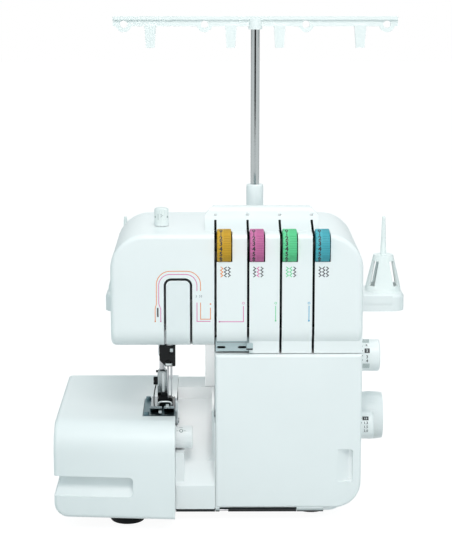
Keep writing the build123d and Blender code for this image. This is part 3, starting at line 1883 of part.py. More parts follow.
with BuildPart() as telescopic_rod:
    bar_along_z(post_x, post_y, (post_top - rod_insert, bar_top - bar_flange), rod_radius)

with BuildPart() as thread_guide_bar:
    with BuildSketch(side_plane(post_x - bar_length / 2)):
        rectangle((post_y - bar_depth / 2, post_y + bar_depth / 2), (bar_top - bar_flange, bar_top))
        rectangle((post_y - bar_web / 2, post_y + bar_web / 2), (bar_bottom, bar_top))
    extrude(amount=bar_length)
    for x in spool_x:
        bar_along_y(x, (post_y - bar_web / 2, post_y + bar_web / 2), eye_z, eye_ring)
        block(
            (x - eye_ring, x + eye_ring),
            (post_y - bar_web / 2, post_y + bar_web / 2),
            (bar_top, bar_top + eye_ring),
            Mode.SUBTRACT,
        )
        bar_along_y(x, (post_y - bar_web, post_y + bar_web), eye_z, eye_hole, Mode.SUBTRACT)
    with BuildSketch(Plane.XY.offset(bar_bottom + reach)):
        with Locations([(x, post_y) for x in peg_x]):
            Rectangle(peg_width, peg_depth)
    extrude(amount=-(peg_length + reach), taper=peg_taper)
    bar_along_z(post_x, post_y, (bar_bottom - bar_boss, bar_top), rod_radius + wall)
    bar_along_z(
        post_x,
        post_y,
        (bar_bottom - 2 * wall, bar_top - bar_flange + seam),
        rod_radius + fit,
        Mode.SUBTRACT,
    )

with BuildPart() as spool_pins:
    with BuildSketch(Plane.XZ) as pin_section:
        with BuildLine():
            Polyline(
                (0, stand_top),
                (pin_radius, stand_top),
                (pin_radius, cone_top + pin_shoulder),
                (pin_tip_radius, pin_top - pin_tip),
                (pin_tip_radius - pin_tip_break, pin_top),
                (0, pin_top),
                close=True,
            )
        make_face()
    pin = revolve(axis=Axis.Z, mode=Mode.PRIVATE)
    for x in spool_x:
        add(pin.moved(Location((x, post_y, 0))))

with BuildPart() as cone_holders:
    with BuildSketch(Plane.XZ) as cone_section:
        with BuildLine():
            Polyline(
                (pin_radius, cone_top),
                (cone_top_radius, cone_top),
                (cone_base_radius, stand_top + cone_rim),
                (cone_base_radius, stand_top),
                (cone_base_radius - cone_wall, stand_top),
                (cone_base_radius - cone_wall, stand_top + cone_rim - reach),
                (cone_top_radius - cone_wall, cone_top - cone_wall),
                (pin_radius, cone_top - cone_wall),
                close=True,
            )
        make_face()
    revolve(axis=Axis.Z)
    with Locations((0, 0, stand_top + cone_rim + cone_wall)):
        with PolarLocations(cone_base_radius - cone_wall, cone_windows, cone_window_turn):
            Box(
                2 * cone_top_radius,
                cone_window_width,
                cone_top - stand_top - 3 * cone_rim,
                align=(Align.CENTER, Align.CENTER, Align.MIN),
                mode=Mode.SUBTRACT,
            )

cone_copies = [cone_holders.part.moved(Location((x, post_y, 0))) for x in spool_x]

parts = {
    "base_tray": base_tray.part,
    "rubber_feet": rubber_feet.part,
    "main_frame": main_frame.part,
    "free_arm": free_arm.part,
    "extension_table": extension_table.part,
    "needle_plate": needle_plate.part,
    "plate_screws": plate_screws.part,
    "feed_dogs": feed_dogs.part,
    "lower_knife": lower_knife.part,
    "upper_knife": upper_knife.part,
    "pivot_pins": pivot_pins.part,
    "lower_looper": lower_looper.part,
    "upper_looper": upper_looper.part,
    "trim_chute": trim_chute.part,
    "rear_bed": rear_bed.part,
    "head_front_cover": head_front_cover.part,
    "thread_tongue": thread_tongue.part,
    "rear_cover": rear_cover.part,
    "right_cover": right_cover.part,
    "front_cover": front_cover.part,
    "cover_hinge_pin": cover_hinge_pin.part,
    "power_inlet": power_inlet.part,
    "switch_frame": switch_frame.part,
    "power_rocker": power_rocker.part,
    "top_thread_guide": top_thread_guide.part,
    "lower_thread_guide": lower_thread_guide.part,
    "tension_carrier": tension_carrier.part,
    "tension_studs": tension_studs.part,
    "tension_discs": tension_discs.part,
    "left_needle_dial": dials[0],
    "right_needle_dial": dials[1],
    "upper_looper_dial": dials[2],
    "lower_looper_dial": dials[3],
    "main_shaft": main_shaft.part,
    "shaft_bushes": shaft_bushes.part,
    "shaft_pulley": shaft_pulley.part,
    "drive_belt": drive_belt.part,
    "motor": motor.part,
    "motor_pulley": motor_pulley.part,
    "handwheel": handwheel.part.moved(handwheel_place),
    "stitch_length_dial": stitch_length_dial,
    "differential_dial": differential_dial,
    "stitch_width_knob": stitch_width_knob.part,
    "pressure_knob": pressure_knob.part,
    "presser_bar": presser_bar.part,
    "presser_spring": presser_spring.part.moved(spring_place),
    "presser_foot": presser_foot.part,
    "foot_screw": foot_screw.part,
    "presser_lever": presser_lever.part,
    "needle_bar": needle_bar.part,
    "needle_clamp": needle_clamp.part,
    "clamp_screws": clamp_screws.part,
    "needles": needles.part,
    "thread_stand": thread_stand.part,
    "guide_post": guide_post.part,
    "telescopic_rod": telescopic_rod.part,
    "thread_guide_bar": thread_guide_bar.part,
    "spool_pins": spool_pins.part,
    "cone_holders": Compound(cone_copies),
}

for name, shape in parts.items():
    shape.label = name
    export_step(shape, f"parts/{name}.step")
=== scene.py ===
import json
from math import cos, pi, radians, sin

import bpy
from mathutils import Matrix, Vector


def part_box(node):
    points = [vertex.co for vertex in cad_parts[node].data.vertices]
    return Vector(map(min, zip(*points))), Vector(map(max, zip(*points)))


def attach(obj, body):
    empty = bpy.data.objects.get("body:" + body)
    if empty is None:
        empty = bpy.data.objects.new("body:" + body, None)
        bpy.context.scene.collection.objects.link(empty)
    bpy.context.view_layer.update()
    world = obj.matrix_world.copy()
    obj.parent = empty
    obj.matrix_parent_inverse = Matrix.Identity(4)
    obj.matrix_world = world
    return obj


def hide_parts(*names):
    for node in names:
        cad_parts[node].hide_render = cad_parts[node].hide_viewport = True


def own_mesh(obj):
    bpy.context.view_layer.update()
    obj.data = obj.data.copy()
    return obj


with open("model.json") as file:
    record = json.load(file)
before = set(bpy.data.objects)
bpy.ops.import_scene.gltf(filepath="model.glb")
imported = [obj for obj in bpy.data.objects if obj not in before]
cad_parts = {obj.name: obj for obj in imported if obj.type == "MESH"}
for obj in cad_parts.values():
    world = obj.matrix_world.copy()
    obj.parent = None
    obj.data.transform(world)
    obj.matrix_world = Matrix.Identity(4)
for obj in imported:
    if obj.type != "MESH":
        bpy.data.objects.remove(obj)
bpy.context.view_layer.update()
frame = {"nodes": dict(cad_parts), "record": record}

MM = 0.001
nodes = frame["nodes"]


# Materials

def new_material(name):
    """An empty node material with its output and a principled shader."""
    material = bpy.data.materials.new(name)
    material.use_nodes = True
    tree = material.node_tree
    shader = tree.nodes["Principled BSDF"]
    return material, tree, shader


def link(tree, source, target):
    tree.links.new(source, target)


def coordinates(tree, stretch=(1, 1, 1)):
    """Object coordinates in metres, stretched for grain."""
    place = tree.nodes.new("ShaderNodeTexCoord")
    mapping = tree.nodes.new("ShaderNodeMapping")
    mapping.inputs["Scale"].default_value = stretch
    link(tree, place.outputs["Object"], mapping.inputs["Vector"])
    return mapping.outputs["Vector"]


def noise(tree, vector, scale, detail=3.0):
    texture = tree.nodes.new("ShaderNodeTexNoise")
    texture.inputs["Scale"].default_value = scale
    texture.inputs["Detail"].default_value = detail
    link(tree, vector, texture.inputs["Vector"])
    return texture.outputs["Fac"]


def ramp(tree, value, low, high, start=0.3, end=0.7):
    """Colours or greys between two levels of a value."""
    node = tree.nodes.new("ShaderNodeValToRGB")
    node.color_ramp.elements[0].position = start
    node.color_ramp.elements[1].position = end
    node.color_ramp.elements[0].color = (*low, 1)
    node.color_ramp.elements[1].color = (*high, 1)
    link(tree, value, node.inputs["Fac"])
    return node.outputs["Color"]


def spread(tree, value, low, high):
    """A value mapped to a range, for roughness."""
    node = tree.nodes.new("ShaderNodeMapRange")
    node.inputs["To Min"].default_value = low
    node.inputs["To Max"].default_value = high
    link(tree, value, node.inputs["Value"])
    return node.outputs["Result"]


def bump(tree, shader, value, strength, distance):
    node = tree.nodes.new("ShaderNodeBump")
    node.inputs["Strength"].default_value = strength
    node.inputs["Distance"].default_value = distance
    link(tree, value, node.inputs["Height"])
    link(tree, node.outputs["Normal"], shader.inputs["Normal"])


def scaled(color, factor):
    return tuple(min(1.0, c * factor) for c in color)


def math_node(tree, operation, first, second=0.0):
    """Arithmetic on sockets or plain numbers."""
    node = tree.nodes.new("ShaderNodeMath")
    node.operation = operation
    for slot, value in zip(node.inputs, (first, second)):
        if hasattr(value, "links"):
            link(tree, value, slot)
        else:
            slot.default_value = value
    return node.outputs[0]


def axes(tree):
    """The object's own X, Y and Z in metres."""
    node = tree.nodes.new("ShaderNodeSeparateXYZ")
    link(tree, coordinates(tree), node.inputs[0])
    return node.outputs


# The sockets of a mix node that hold colours
MIX_FIRST = 6
MIX_SECOND = 7
MIX_RESULT = 2


def paint(material, mask, color):
    """A second colour where a mask is one."""
    tree = material.node_tree
    shader = tree.nodes["Principled BSDF"]
    socket = shader.inputs["Base Color"]
    node = tree.nodes.new("ShaderNodeMix")
    node.data_type = "RGBA"
    link(tree, mask, node.inputs[0])
    link(tree, socket.links[0].from_socket, node.inputs[MIX_FIRST])
    node.inputs[MIX_SECOND].default_value = (*color, 1)
    link(tree, node.outputs[MIX_RESULT], socket)


def rounded_distance(tree, center_x, half, top, corner):
    """How far a place lies outside an arch with round corners, in metres."""
    x, y, z = axes(tree)
    beside = math_node(tree, "ABSOLUTE", math_node(tree, "SUBTRACT", x, center_x))
    side = math_node(tree, "SUBTRACT", beside, half - corner)
    rise = math_node(tree, "SUBTRACT", z, top - corner)
    outside = [math_node(tree, "MAXIMUM", away, 0.0) for away in (side, rise)]
    squares = [math_node(tree, "POWER", away, 2.0) for away in outside]
    reach = math_node(tree, "SQRT", math_node(tree, "ADD", *squares))
    inside = math_node(tree, "MINIMUM", math_node(tree, "MAXIMUM", side, rise), 0.0)
    return math_node(tree, "SUBTRACT", math_node(tree, "ADD", reach, inside), corner)


CLOUD_SCALE = 14
CLOUD_DETAIL = 2
GRAIN_DETAIL = 4
GLOSS_SPREAD = 0.15


def finish_material(
    name, color, roughness, vary=0.03, grain=1800, grain_strength=0.12, grain_depth=0.00004,
    stretch=(1, 1, 1), **sockets
):
    """A surface with cloudy colour variation, uneven gloss and a fine surface grain."""
    material, tree, shader = new_material(name)
    vector = coordinates(tree)
    cloud = noise(tree, vector, CLOUD_SCALE, CLOUD_DETAIL)
    tint = ramp(tree, cloud, scaled(color, 1 - vary), scaled(color, 1 + vary))
    link(tree, tint, shader.inputs["Base Color"])
    streak = noise(tree, coordinates(tree, stretch), grain, GRAIN_DETAIL)
    gloss = spread(tree, streak, roughness * (1 - GLOSS_SPREAD), roughness * (1 + GLOSS_SPREAD))
    link(tree, gloss, shader.inputs["Roughness"])
    bump(tree, shader, streak, grain_strength, grain_depth)
    for socket, value in sockets.items():
        shader.inputs[socket.replace("_", " ")].default_value = value
    return material


WHITE = (0.91, 0.925, 0.93)
white_plastic = finish_material("white_plastic", WHITE, roughness=0.34, vary=0.012, Specular_IOR_Level=0.45)
knob_plastic = finish_material("knob_plastic", (0.8, 0.835, 0.83), roughness=0.34, vary=0.012)
tongue_plastic = finish_material("tongue_plastic", (0.862, 0.888, 0.895), roughness=0.36, vary=0.012)
clear_plastic = finish_material(
    "clear_plastic", (0.92, 0.95, 0.94),
    roughness=0.3, vary=0.01, grain=1200, grain_strength=0.02, grain_depth=0.00001
)
bar_plastic = finish_material(
    "bar_plastic", (0.94, 0.96, 0.955),
    roughness=0.6, vary=0.01, grain=300, grain_strength=0.01, grain_depth=0.00001, Specular_IOR_Level=0.2
)
guide_plastic = finish_material(
    "guide_plastic", (0.84, 0.865, 0.87),
    roughness=0.3, vary=0.01, grain=1200, grain_strength=0.02, grain_depth=0.00001
)
black_plastic = finish_material(
    "black_plastic", (0.008, 0.009, 0.01),
    roughness=0.4, vary=0.1, grain=1500, grain_strength=0.25, Specular_IOR_Level=0.25
)
feet_rubber = finish_material(
    "feet_rubber", (0.006, 0.008, 0.009),
    roughness=0.8, vary=0.15, grain=900, grain_strength=0.4, grain_depth=0.0001, Specular_IOR_Level=0.15
)
grey_plastic = finish_material("grey_plastic", (0.42, 0.45, 0.47), roughness=0.45, vary=0.05)
cast_frame = finish_material(
    "cast_frame", (0.5, 0.52, 0.54),
    roughness=0.55, vary=0.08, grain=500, grain_strength=0.5, grain_depth=0.0002, Metallic=0.9
)
steel = finish_material(
    "brushed_steel", (0.5, 0.51, 0.53),
    roughness=0.32, vary=0.08,
    grain=900, grain_strength=0.3, grain_depth=0.00004, stretch=(1, 0.03, 1), Metallic=1.0
)
plate_steel = finish_material(
    "plate_steel", (0.2, 0.3, 0.335),
    roughness=0.42, vary=0.1,
    grain=1400, grain_strength=0.4, grain_depth=0.00005, stretch=(1, 0.02, 1), Metallic=1.0
)
dark_steel = finish_material(
    "dark_steel", (0.03, 0.032, 0.035), roughness=0.5, vary=0.1, grain=900, grain_strength=0.2, Metallic=0.6
)
foot_steel = finish_material(
    "foot_steel", (0.36, 0.4, 0.41), roughness=0.22, vary=0.05, grain=900, grain_strength=0.1, Metallic=1.0
)
bright_steel = finish_material(
    "bright_steel", (0.82, 0.85, 0.86),
    roughness=0.3, vary=0.03, grain=900, grain_strength=0.1, Metallic=0.4
)
toe_steel = finish_material(
    "toe_steel", (0.5, 0.54, 0.55), roughness=0.4, vary=0.05, grain=900, grain_strength=0.1, Metallic=0.3
)
guide_steel = finish_material(
    "guide_steel", (0.5, 0.6, 0.62), roughness=0.4, vary=0.04, grain=900, grain_strength=0.1, Metallic=0.3
)
knife_steel = finish_material(
    "knife_steel", (0.72, 0.76, 0.78), roughness=0.4, vary=0.04, grain=900, grain_strength=0.2, Metallic=0.3
)
chrome = finish_material(
    "chrome", (0.44, 0.47, 0.475), roughness=0.1, vary=0.02, grain=700, grain_strength=0.03, Metallic=1.0
)
bronze = finish_material(
    "bronze", (0.55, 0.38, 0.18), roughness=0.4, vary=0.1, grain=900, grain_strength=0.2, Metallic=1.0
)
motor_paint = finish_material(
    "motor_paint", (0.07, 0.075, 0.08), roughness=0.5, vary=0.1, grain=700, grain_strength=0.3
)
DIAL_COLORS = {
    "left_needle_dial": (0.62, 0.35, 0.03),
    "right_needle_dial": (0.6, 0.16, 0.36),
    "upper_looper_dial": (0.13, 0.63, 0.3),
    "lower_looper_dial": (0.08, 0.42, 0.5),
}
dial_materials = {
    name: finish_material("finish_" + name, color, roughness=0.45, vary=0.03, Specular_IOR_Level=0.2)
    for name, color in DIAL_COLORS.items()
}
INKS = {
    "orange": (0.88, 0.3, 0.09),
    "pink": (0.78, 0.2, 0.46),
    "green": (0.2, 0.72, 0.36),
    "blue": (0.1, 0.45, 0.72),
    "black": (0.03, 0.03, 0.035),
    "grey": (0.25, 0.26, 0.28),
    "white": (0.85, 0.87, 0.88),
    "slate": (0.075, 0.065, 0.08),
    "mist": (0.3, 0.38, 0.37),
    "pale": (0.36, 0.4, 0.4),
}
inks = {
    name: finish_material("ink_" + name, color, roughness=0.5, vary=0.04)
    for name, color in INKS.items()
}

SLOTS = {
    "white_plastic": white_plastic,
    "clear_plastic": clear_plastic,
    "black_plastic": black_plastic,
    "grey_plastic": grey_plastic,
    "feet_rubber": feet_rubber,
    "cast_frame": cast_frame,
    "steel": steel,
    "chrome": chrome,
    "bronze": bronze,
    "motor_paint": motor_paint,
}

# Painted shade: the walls of the thread slots and of the gap round the tongue are painted dark, standing
# for the shade inside them
SEAM = 0.15 * MM
SLOT_HALF = 1.1 * MM
SLOT_BESIDE_DIAL = 1.5 * MM
SLOT_TOP_DEPTH = 45.2 * MM
TONGUE_GAP = 2 * MM
TONGUE_CORNER = 7 * MM
DARK = (0.012, 0.014, 0.016)
head_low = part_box("head_front_cover")[0]
dial_lefts = [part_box(name)[0][0] for name in DIAL_COLORS]
first_slot = dial_lefts[0] - SLOT_BESIDE_DIAL
slot_pitch = dial_lefts[1] - dial_lefts[0]
last_slot = dial_lefts[-1] - SLOT_BESIDE_DIAL
tongue_low, tongue_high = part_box("thread_tongue")
tongue_center = (tongue_low[0] + tongue_high[0]) / 2
tongue_half = (tongue_high[0] - tongue_low[0]) / 2


def both(tree, first, second):
    return math_node(tree, "MULTIPLY", first, second)


def slot_mask(tree):
    """One on the walls of the thread slots, where dark paint stands for their shade."""
    x, y, z = axes(tree)
    beside = math_node(tree, "PINGPONG", math_node(tree, "SUBTRACT", x, first_slot), slot_pitch / 2)
    near = math_node(tree, "LESS_THAN", beside, SLOT_HALF + SEAM / 3)
    after = math_node(tree, "GREATER_THAN", x, first_slot - SLOT_HALF - SEAM)
    before = math_node(tree, "LESS_THAN", x, last_slot + SLOT_HALF + SEAM)
    front = math_node(tree, "LESS_THAN", y, head_low[1] + SLOT_TOP_DEPTH)
    above = math_node(tree, "GREATER_THAN", z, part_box("front_cover")[1][2] + SLOT_HALF)
    return both(tree, both(tree, near, both(tree, front, above)), both(tree, after, before))


def arch_mask(tree, grow):
    """One on the wall of an arch that lies outside the tongue by a gap, where dark paint stands for the
    shade in the gap.
    """
    corner = TONGUE_CORNER - TONGUE_GAP + grow
    away = rounded_distance(tree, tongue_center, tongue_half + grow, tongue_high[2] + grow, corner)
    return math_node(tree, "LESS_THAN", math_node(tree, "ABSOLUTE", away), SEAM)


head_plastic = finish_material("head_plastic", WHITE, roughness=0.34, vary=0.012, Specular_IOR_Level=0.45)
# Painted shade: the slot walls and the walls of the gap round the tongue are painted dark
paint(head_plastic, slot_mask(head_plastic.node_tree), DARK)
paint(head_plastic, arch_mask(head_plastic.node_tree, TONGUE_GAP), DARK)
paint(tongue_plastic, arch_mask(tongue_plastic.node_tree, 0.0), DARK)
paint(guide_plastic, slot_mask(guide_plastic.node_tree), DARK)

# The front cover's hinge knuckles are grey with a dark underside, and the tray's bare end is white
KNUCKLE = (0.4, 0.44, 0.445)
KNUCKLE_HEIGHT = 3.2 * MM
UNDERSIDE = 1.6 * MM
TRAY_END = 22 * MM
tray_low, tray_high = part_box("base_tray")
cover_plastic = finish_material("cover_plastic", WHITE, roughness=0.34, vary=0.012, Specular_IOR_Level=0.45)
cover_tree = cover_plastic.node_tree
cover_rise = axes(cover_tree)[2]
hinge = math_node(cover_tree, "LESS_THAN", cover_rise, tray_low[2] + KNUCKLE_HEIGHT)
under = math_node(cover_tree, "LESS_THAN", cover_rise, tray_low[2] + UNDERSIDE)
paint(cover_plastic, hinge, KNUCKLE)
paint(cover_plastic, under, DARK)
tray_plastic = finish_material(
    "tray_plastic", DARK, roughness=0.4, vary=0.1, grain=1500, grain_strength=0.25, Specular_IOR_Level=0.25
)
tray_tree = tray_plastic.node_tree
tray_end = math_node(tray_tree, "GREATER_THAN", axes(tray_tree)[0], tray_high[0] - TRAY_END)
paint(tray_plastic, tray_end, WHITE)

# The presser foot's dark sole, with a grey wing and tip
SOLE_DARK = (0.02, 0.025, 0.028)
SOLE_GREY = (0.3, 0.345, 0.36)
SHANK_BOTTOM = 11 * MM
WING = 6.3 * MM
TIP = 4 * MM
SOLE_TIP = (0.15, 0.19, 0.205)
foot_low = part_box("presser_foot")[0]
foot_tree = foot_steel.node_tree
sole_x, sole_y, sole_z = axes(foot_tree)
below = math_node(foot_tree, "LESS_THAN", sole_z, foot_low[2] + SHANK_BOTTOM)
wing = math_node(foot_tree, "LESS_THAN", sole_x, foot_low[0] + WING)
paint(foot_steel, below, SOLE_DARK)
paint(foot_steel, both(foot_tree, below, wing), SOLE_GREY)
paint(foot_steel, math_node(foot_tree, "LESS_THAN", sole_y, foot_low[1] + TIP), SOLE_TIP)

# Painted shade: fine dark stripes on the free part of each tension dial, standing for the shade in its rib
# grooves
DIAL_RIBS = 60
RIB_SHARE = 0.3
PRINTED_SHARE = 0.45
RIB_SHADE = 0.72
for name, material in dial_materials.items():
    dial_low, dial_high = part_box(name)
    dial_tree = material.node_tree
    dial_x, dial_y, dial_z = axes(dial_tree)
    behind = math_node(dial_tree, "SUBTRACT", dial_y, (dial_low[1] + dial_high[1]) / 2)
    over = math_node(dial_tree, "SUBTRACT", dial_z, (dial_low[2] + dial_high[2]) / 2)
    angle = math_node(dial_tree, "ARCTAN2", over, behind)
    turns = math_node(dial_tree, "MULTIPLY", angle, DIAL_RIBS / (2 * pi))
    wave = math_node(dial_tree, "PINGPONG", turns, 0.5)
    groove = math_node(dial_tree, "LESS_THAN", wave, RIB_SHARE / 2)
    printed = dial_low[0] + (dial_high[0] - dial_low[0]) * PRINTED_SHARE
    free = math_node(dial_tree, "GREATER_THAN", dial_x, printed)
    paint(material, both(dial_tree, groove, free), scaled(DIAL_COLORS[name], RIB_SHADE))

OWN = {
    "head_front_cover": head_plastic,
    "lower_thread_guide": guide_steel,
    "upper_knife": knife_steel,
    "lower_knife": knife_steel,
    "needle_plate": plate_steel,
    "plate_screws": plate_steel,
    "presser_foot": foot_steel,
    "pressure_knob": knob_plastic,
    # Painted shade: the tension carrier, seen through the thread slots, gets a black finish that stands for
    # the shade there
    "tension_carrier": black_plastic,
    "base_tray": tray_plastic,
    "front_cover": cover_plastic,
    # Painted shade: the tension discs and studs inside the thread slots get dark steel that stands for the
    # shade there
    "tension_discs": dark_steel,
    "tension_studs": dark_steel,
    "thread_guide_bar": bar_plastic,
    "thread_tongue": tongue_plastic,
    "top_thread_guide": guide_plastic,
    **dial_materials,
}
for part in frame["record"]["subparts"]:
    target = nodes[part["node"]]
    target.data.materials.clear()
    target.data.materials.append(OWN.get(part["node"]) or SLOTS[part["material_slot"]])


# Pieces: meshes made here that ride the frame's bodies

def add_object(name, data):
    thing = bpy.data.objects.new(name, data)
    bpy.context.scene.collection.objects.link(thing)
    return thing


def piece(name, points, faces, material, body):
    """A mesh from points in metres, riding a body of the frame."""
    data = bpy.data.meshes.new(name)
    data.from_pydata(points, [], faces)
    data.update()
    data.materials.append(material)
    thing = add_object(name, data)
    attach(thing, body)
    return thing


def joined(shapes):
    """Several pairs of points and faces as one."""
    points = []
    faces = []
    for some_points, some_faces in shapes:
        shift = len(points)
        points += some_points
        faces += [tuple(index + shift for index in face) for face in some_faces]
    return points, faces


MITRE_LIMIT = 0.4


def ribbon(path, width):
    """A flat strip along a path in a plane, with mitred corners."""
    half = width / 2
    left = []
    right = []
    for index, place in enumerate(path):
        here = Vector(place)
        before = Vector(path[index - 1]) if index else here
        after = Vector(path[index + 1]) if index + 1 < len(path) else here
        arriving = (here - before).normalized() if index else (after - here).normalized()
        leaving = (after - here).normalized() if index + 1 < len(path) else arriving
        across = Vector((-arriving.y - leaving.y, arriving.x + leaving.x)).normalized()
        stretch = half / max(MITRE_LIMIT, across.dot(Vector((-arriving.y, arriving.x))))
        left.append(tuple(here + across * stretch))
        right.append(tuple(here - across * stretch))
    count = len(path)
    faces = [(k, k + 1, count + k + 1, count + k) for k in range(count - 1)]
    return left + right, faces


def disc(center, radius, sides=16):
    """A flat round dot."""
    turns = [2 * pi * k / sides for k in range(sides)]
    points = [(center[0] + radius * cos(a), center[1] + radius * sin(a)) for a in turns]
    return points, [tuple(range(sides))]


def patch(low, high):
    """A flat rectangle between two corners."""
    return [low, (high[0], low[1]), high, (low[0], high[1])], [(0, 1, 2, 3)]


def arc(center, radius, start, end, steps=10):
    """Places along an arc, with its angles in degrees."""
    turns = [radians(start + (end - start) * k / steps) for k in range(steps + 1)]
    return [(center[0] + radius * cos(a), center[1] + radius * sin(a)) for a in turns]


BOLD = 0.014
CAPITAL_SHARE = 0.72


def lettering(text, height, center, bold=BOLD):
    """The outline of plain numbers, centred on a place in a plane."""
    curve = bpy.data.curves.new("lettering", "FONT")
    curve.body = text
    curve.size = height / CAPITAL_SHARE
    curve.align_x = "CENTER"
    curve.resolution_u = 3
    curve.offset = bold * curve.size
    thing = add_object("lettering", curve)
    bpy.context.view_layer.update()
    data = thing.evaluated_get(bpy.context.evaluated_depsgraph_get()).to_mesh()
    points = [(center[0] + v.co.x, center[1] + v.co.y - height / 2) for v in data.vertices]
    faces = [tuple(face.vertices) for face in data.polygons]
    bpy.data.objects.remove(thing)
    bpy.data.curves.remove(curve)
    return points, faces


PRINT_LIFT = 0.06
DRUM_LIFT = 0.15


def on_front(shape, face_y):
    """A flat shape, in millimetres, laid on an upright front face."""
    points, faces = shape
    depth = face_y - PRINT_LIFT * MM
    return [(x * MM, depth, z * MM) for x, z in points], faces


def on_drum(shape, center_y, center_z, radius):
    """A flat shape wrapped round a drum whose axis runs along X; zero height faces the front."""
    points, faces = shape
    r = radius + DRUM_LIFT * MM
    wrapped = []
    for x, rise in points:
        turn = rise * MM / radius
        wrapped.append((x * MM, center_y - r * cos(turn), center_z + r * sin(turn)))
    return wrapped, faces


def box_of(node):
    """A node's limits as three pairs, in metres."""
    low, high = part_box(node)
    return [(low[axis], high[axis]) for axis in range(3)]


# Printed thread paths on the head's face, placed from the tongue, the dials and the front cover
FACE_Y = box_of("head_front_cover")[1][0]
LINE = 0.75
TONGUE = box_of("thread_tongue")
tongue_middle = (TONGUE[0][0] + TONGUE[0][1]) / 2 / MM
tongue_left = TONGUE[0][0] / MM
tongue_top = TONGUE[2][1] / MM
DIALS = ["left_needle_dial", "right_needle_dial", "upper_looper_dial", "lower_looper_dial"]
dial_starts = [box_of(name)[0][0] / MM for name in DIALS]
PATH_ABOVE_COVER = 33.1
PATH_BOTTOM = box_of("front_cover")[2][1] / MM + PATH_ABOVE_COVER
FLARE_START = PATH_BOTTOM + 12.4
FLARE_END = PATH_BOTTOM + 17
HOOP_END = PATH_BOTTOM + 29.8
BREAK_END = PATH_BOTTOM + 18.3
RING_RISE = PATH_BOTTOM + 17.7
RING_RADIUS = 1
RING_LINE = 0.4
SMALL_DOT = 0.7
LARGE_DOT = 0.8


def hoop(half_left, half_right, top, flare, corner):
    """A thread path that rises beside the tongue, arches over it and comes down on its right."""
    left = tongue_middle - half_left
    right = tongue_middle + half_right
    low_left = left - flare
    start = [(low_left, PATH_BOTTOM), (low_left, FLARE_START), (left, FLARE_END)]
    rise = arc((left + corner, top - corner), corner, 180, 90)
    fall = arc((right - corner, top - corner), corner, 90, 0)
    return start + rise + fall + [(right, HOOP_END)]


def ring(x, line=RING_LINE):
    """A small printed ring at the end of a thread path."""
    return ribbon(arc((x, RING_RISE), RING_RADIUS, 0, 360, 12), line)


def mark(name, color, shapes):
    """Printed shapes of one colour on the head's face."""
    points, faces = on_front(joined(shapes), FACE_Y)
    return piece(name, points, faces, inks[color], "chassis")


OUTER_LEFT = 20.6
OUTER_RIGHT = 21.5
OUTER_FLARE = 1.3
OUTER_TOP = tongue_top + 9
OUTER_CORNER = 13
ORANGE_LEVEL = PATH_BOTTOM + 2.1
ORANGE_TOP = PATH_BOTTOM + 13.4
ORANGE_DOT = PATH_BOTTOM + 16.9
orange_x = tongue_middle + OUTER_RIGHT
corner_x = dial_starts[0] - 6.3
mark(
    "orange_thread_path",
    "orange",
    [
        ribbon(hoop(OUTER_LEFT, OUTER_RIGHT, OUTER_TOP, OUTER_FLARE, OUTER_CORNER), LINE),
        ribbon(
            [
                (orange_x, BREAK_END),
                (orange_x, ORANGE_LEVEL),
                (corner_x, ORANGE_LEVEL),
                (corner_x, ORANGE_TOP),
            ],
            LINE,
        ),
        disc((tongue_middle - OUTER_LEFT - OUTER_FLARE, PATH_BOTTOM), SMALL_DOT),
        disc((corner_x, ORANGE_DOT), LARGE_DOT),
    ],
)
INNER_LEFT = 18.4
INNER_RIGHT = 18.1
INNER_FLARE = -1.8
INNER_TOP = tongue_top + 6
INNER_CORNER = 11
SECOND_LEVEL = PATH_BOTTOM - 0.4
SECOND_TOP = PATH_BOTTOM + 15
SECOND_DOT = 0.75
pink_x = tongue_middle + INNER_RIGHT
second_start = dial_starts[0] + 2.2
second_x = dial_starts[1] - 6
mark(
    "pink_thread_path",
    "pink",
    [
        ribbon(hoop(INNER_LEFT, INNER_RIGHT, INNER_TOP, INNER_FLARE, INNER_CORNER), LINE),
        ribbon([(pink_x, BREAK_END), (pink_x, PATH_BOTTOM), (corner_x, PATH_BOTTOM)], LINE),
        ribbon([(second_start, SECOND_LEVEL), (second_x, SECOND_LEVEL), (second_x, SECOND_TOP)], LINE),
        disc((tongue_middle - INNER_LEFT - INNER_FLARE, PATH_BOTTOM), SMALL_DOT),
        disc((second_start, SECOND_LEVEL), SECOND_DOT),
        ring(second_x),
    ],
)
LOOPER_BOTTOM = PATH_BOTTOM + 0.7
LOOPER_TOP = PATH_BOTTOM + 15.3
LOOPER_DOT = PATH_BOTTOM + 0.5


def looper_path(name, color, x, dot, line):
    """A straight thread path with a dot at its bottom and a ring over it."""
    shapes = [
        ribbon([(x, LOOPER_BOTTOM), (x, LOOPER_TOP)], LINE),
        disc((x, LOOPER_DOT), dot),
        ring(x, line),
    ]
    return mark(name, color, shapes)


looper_path("green_thread_path", "green", dial_starts[2] - 6.4, LARGE_DOT, RING_LINE)
looper_path("blue_thread_path", "blue", dial_starts[3] - 5.7, 0.9, 0.45)
BAR_BESIDE_TONGUE = 8.6
START_BAR_WIDTH = 1.4
START_BAR = (PATH_BOTTOM + 4.3, PATH_BOTTOM + 13.2)
start_bar_x = tongue_left - BAR_BESIDE_TONGUE
mark(
    "path_start_bar",
    "black",
    [patch((start_bar_x, START_BAR[0]), (start_bar_x + START_BAR_WIDTH, START_BAR[1]))],
)
ARROW_BOTTOM = PATH_BOTTOM + 23.3
ARROW_WIDTH = 0.7
ARROW_HALF = 1.2
ARROW_LINE = 0.4
mark(
    "path_symbols",
    "grey",
    [
        ribbon(
            [
                (x, ARROW_BOTTOM),
                (x + ARROW_WIDTH, ARROW_BOTTOM + ARROW_HALF),
                (x, ARROW_BOTTOM + 2 * ARROW_HALF),
            ],
            ARROW_LINE,
        )
        for x in (pink_x - 1, orange_x - 1, orange_x + 0.6)
    ],
)

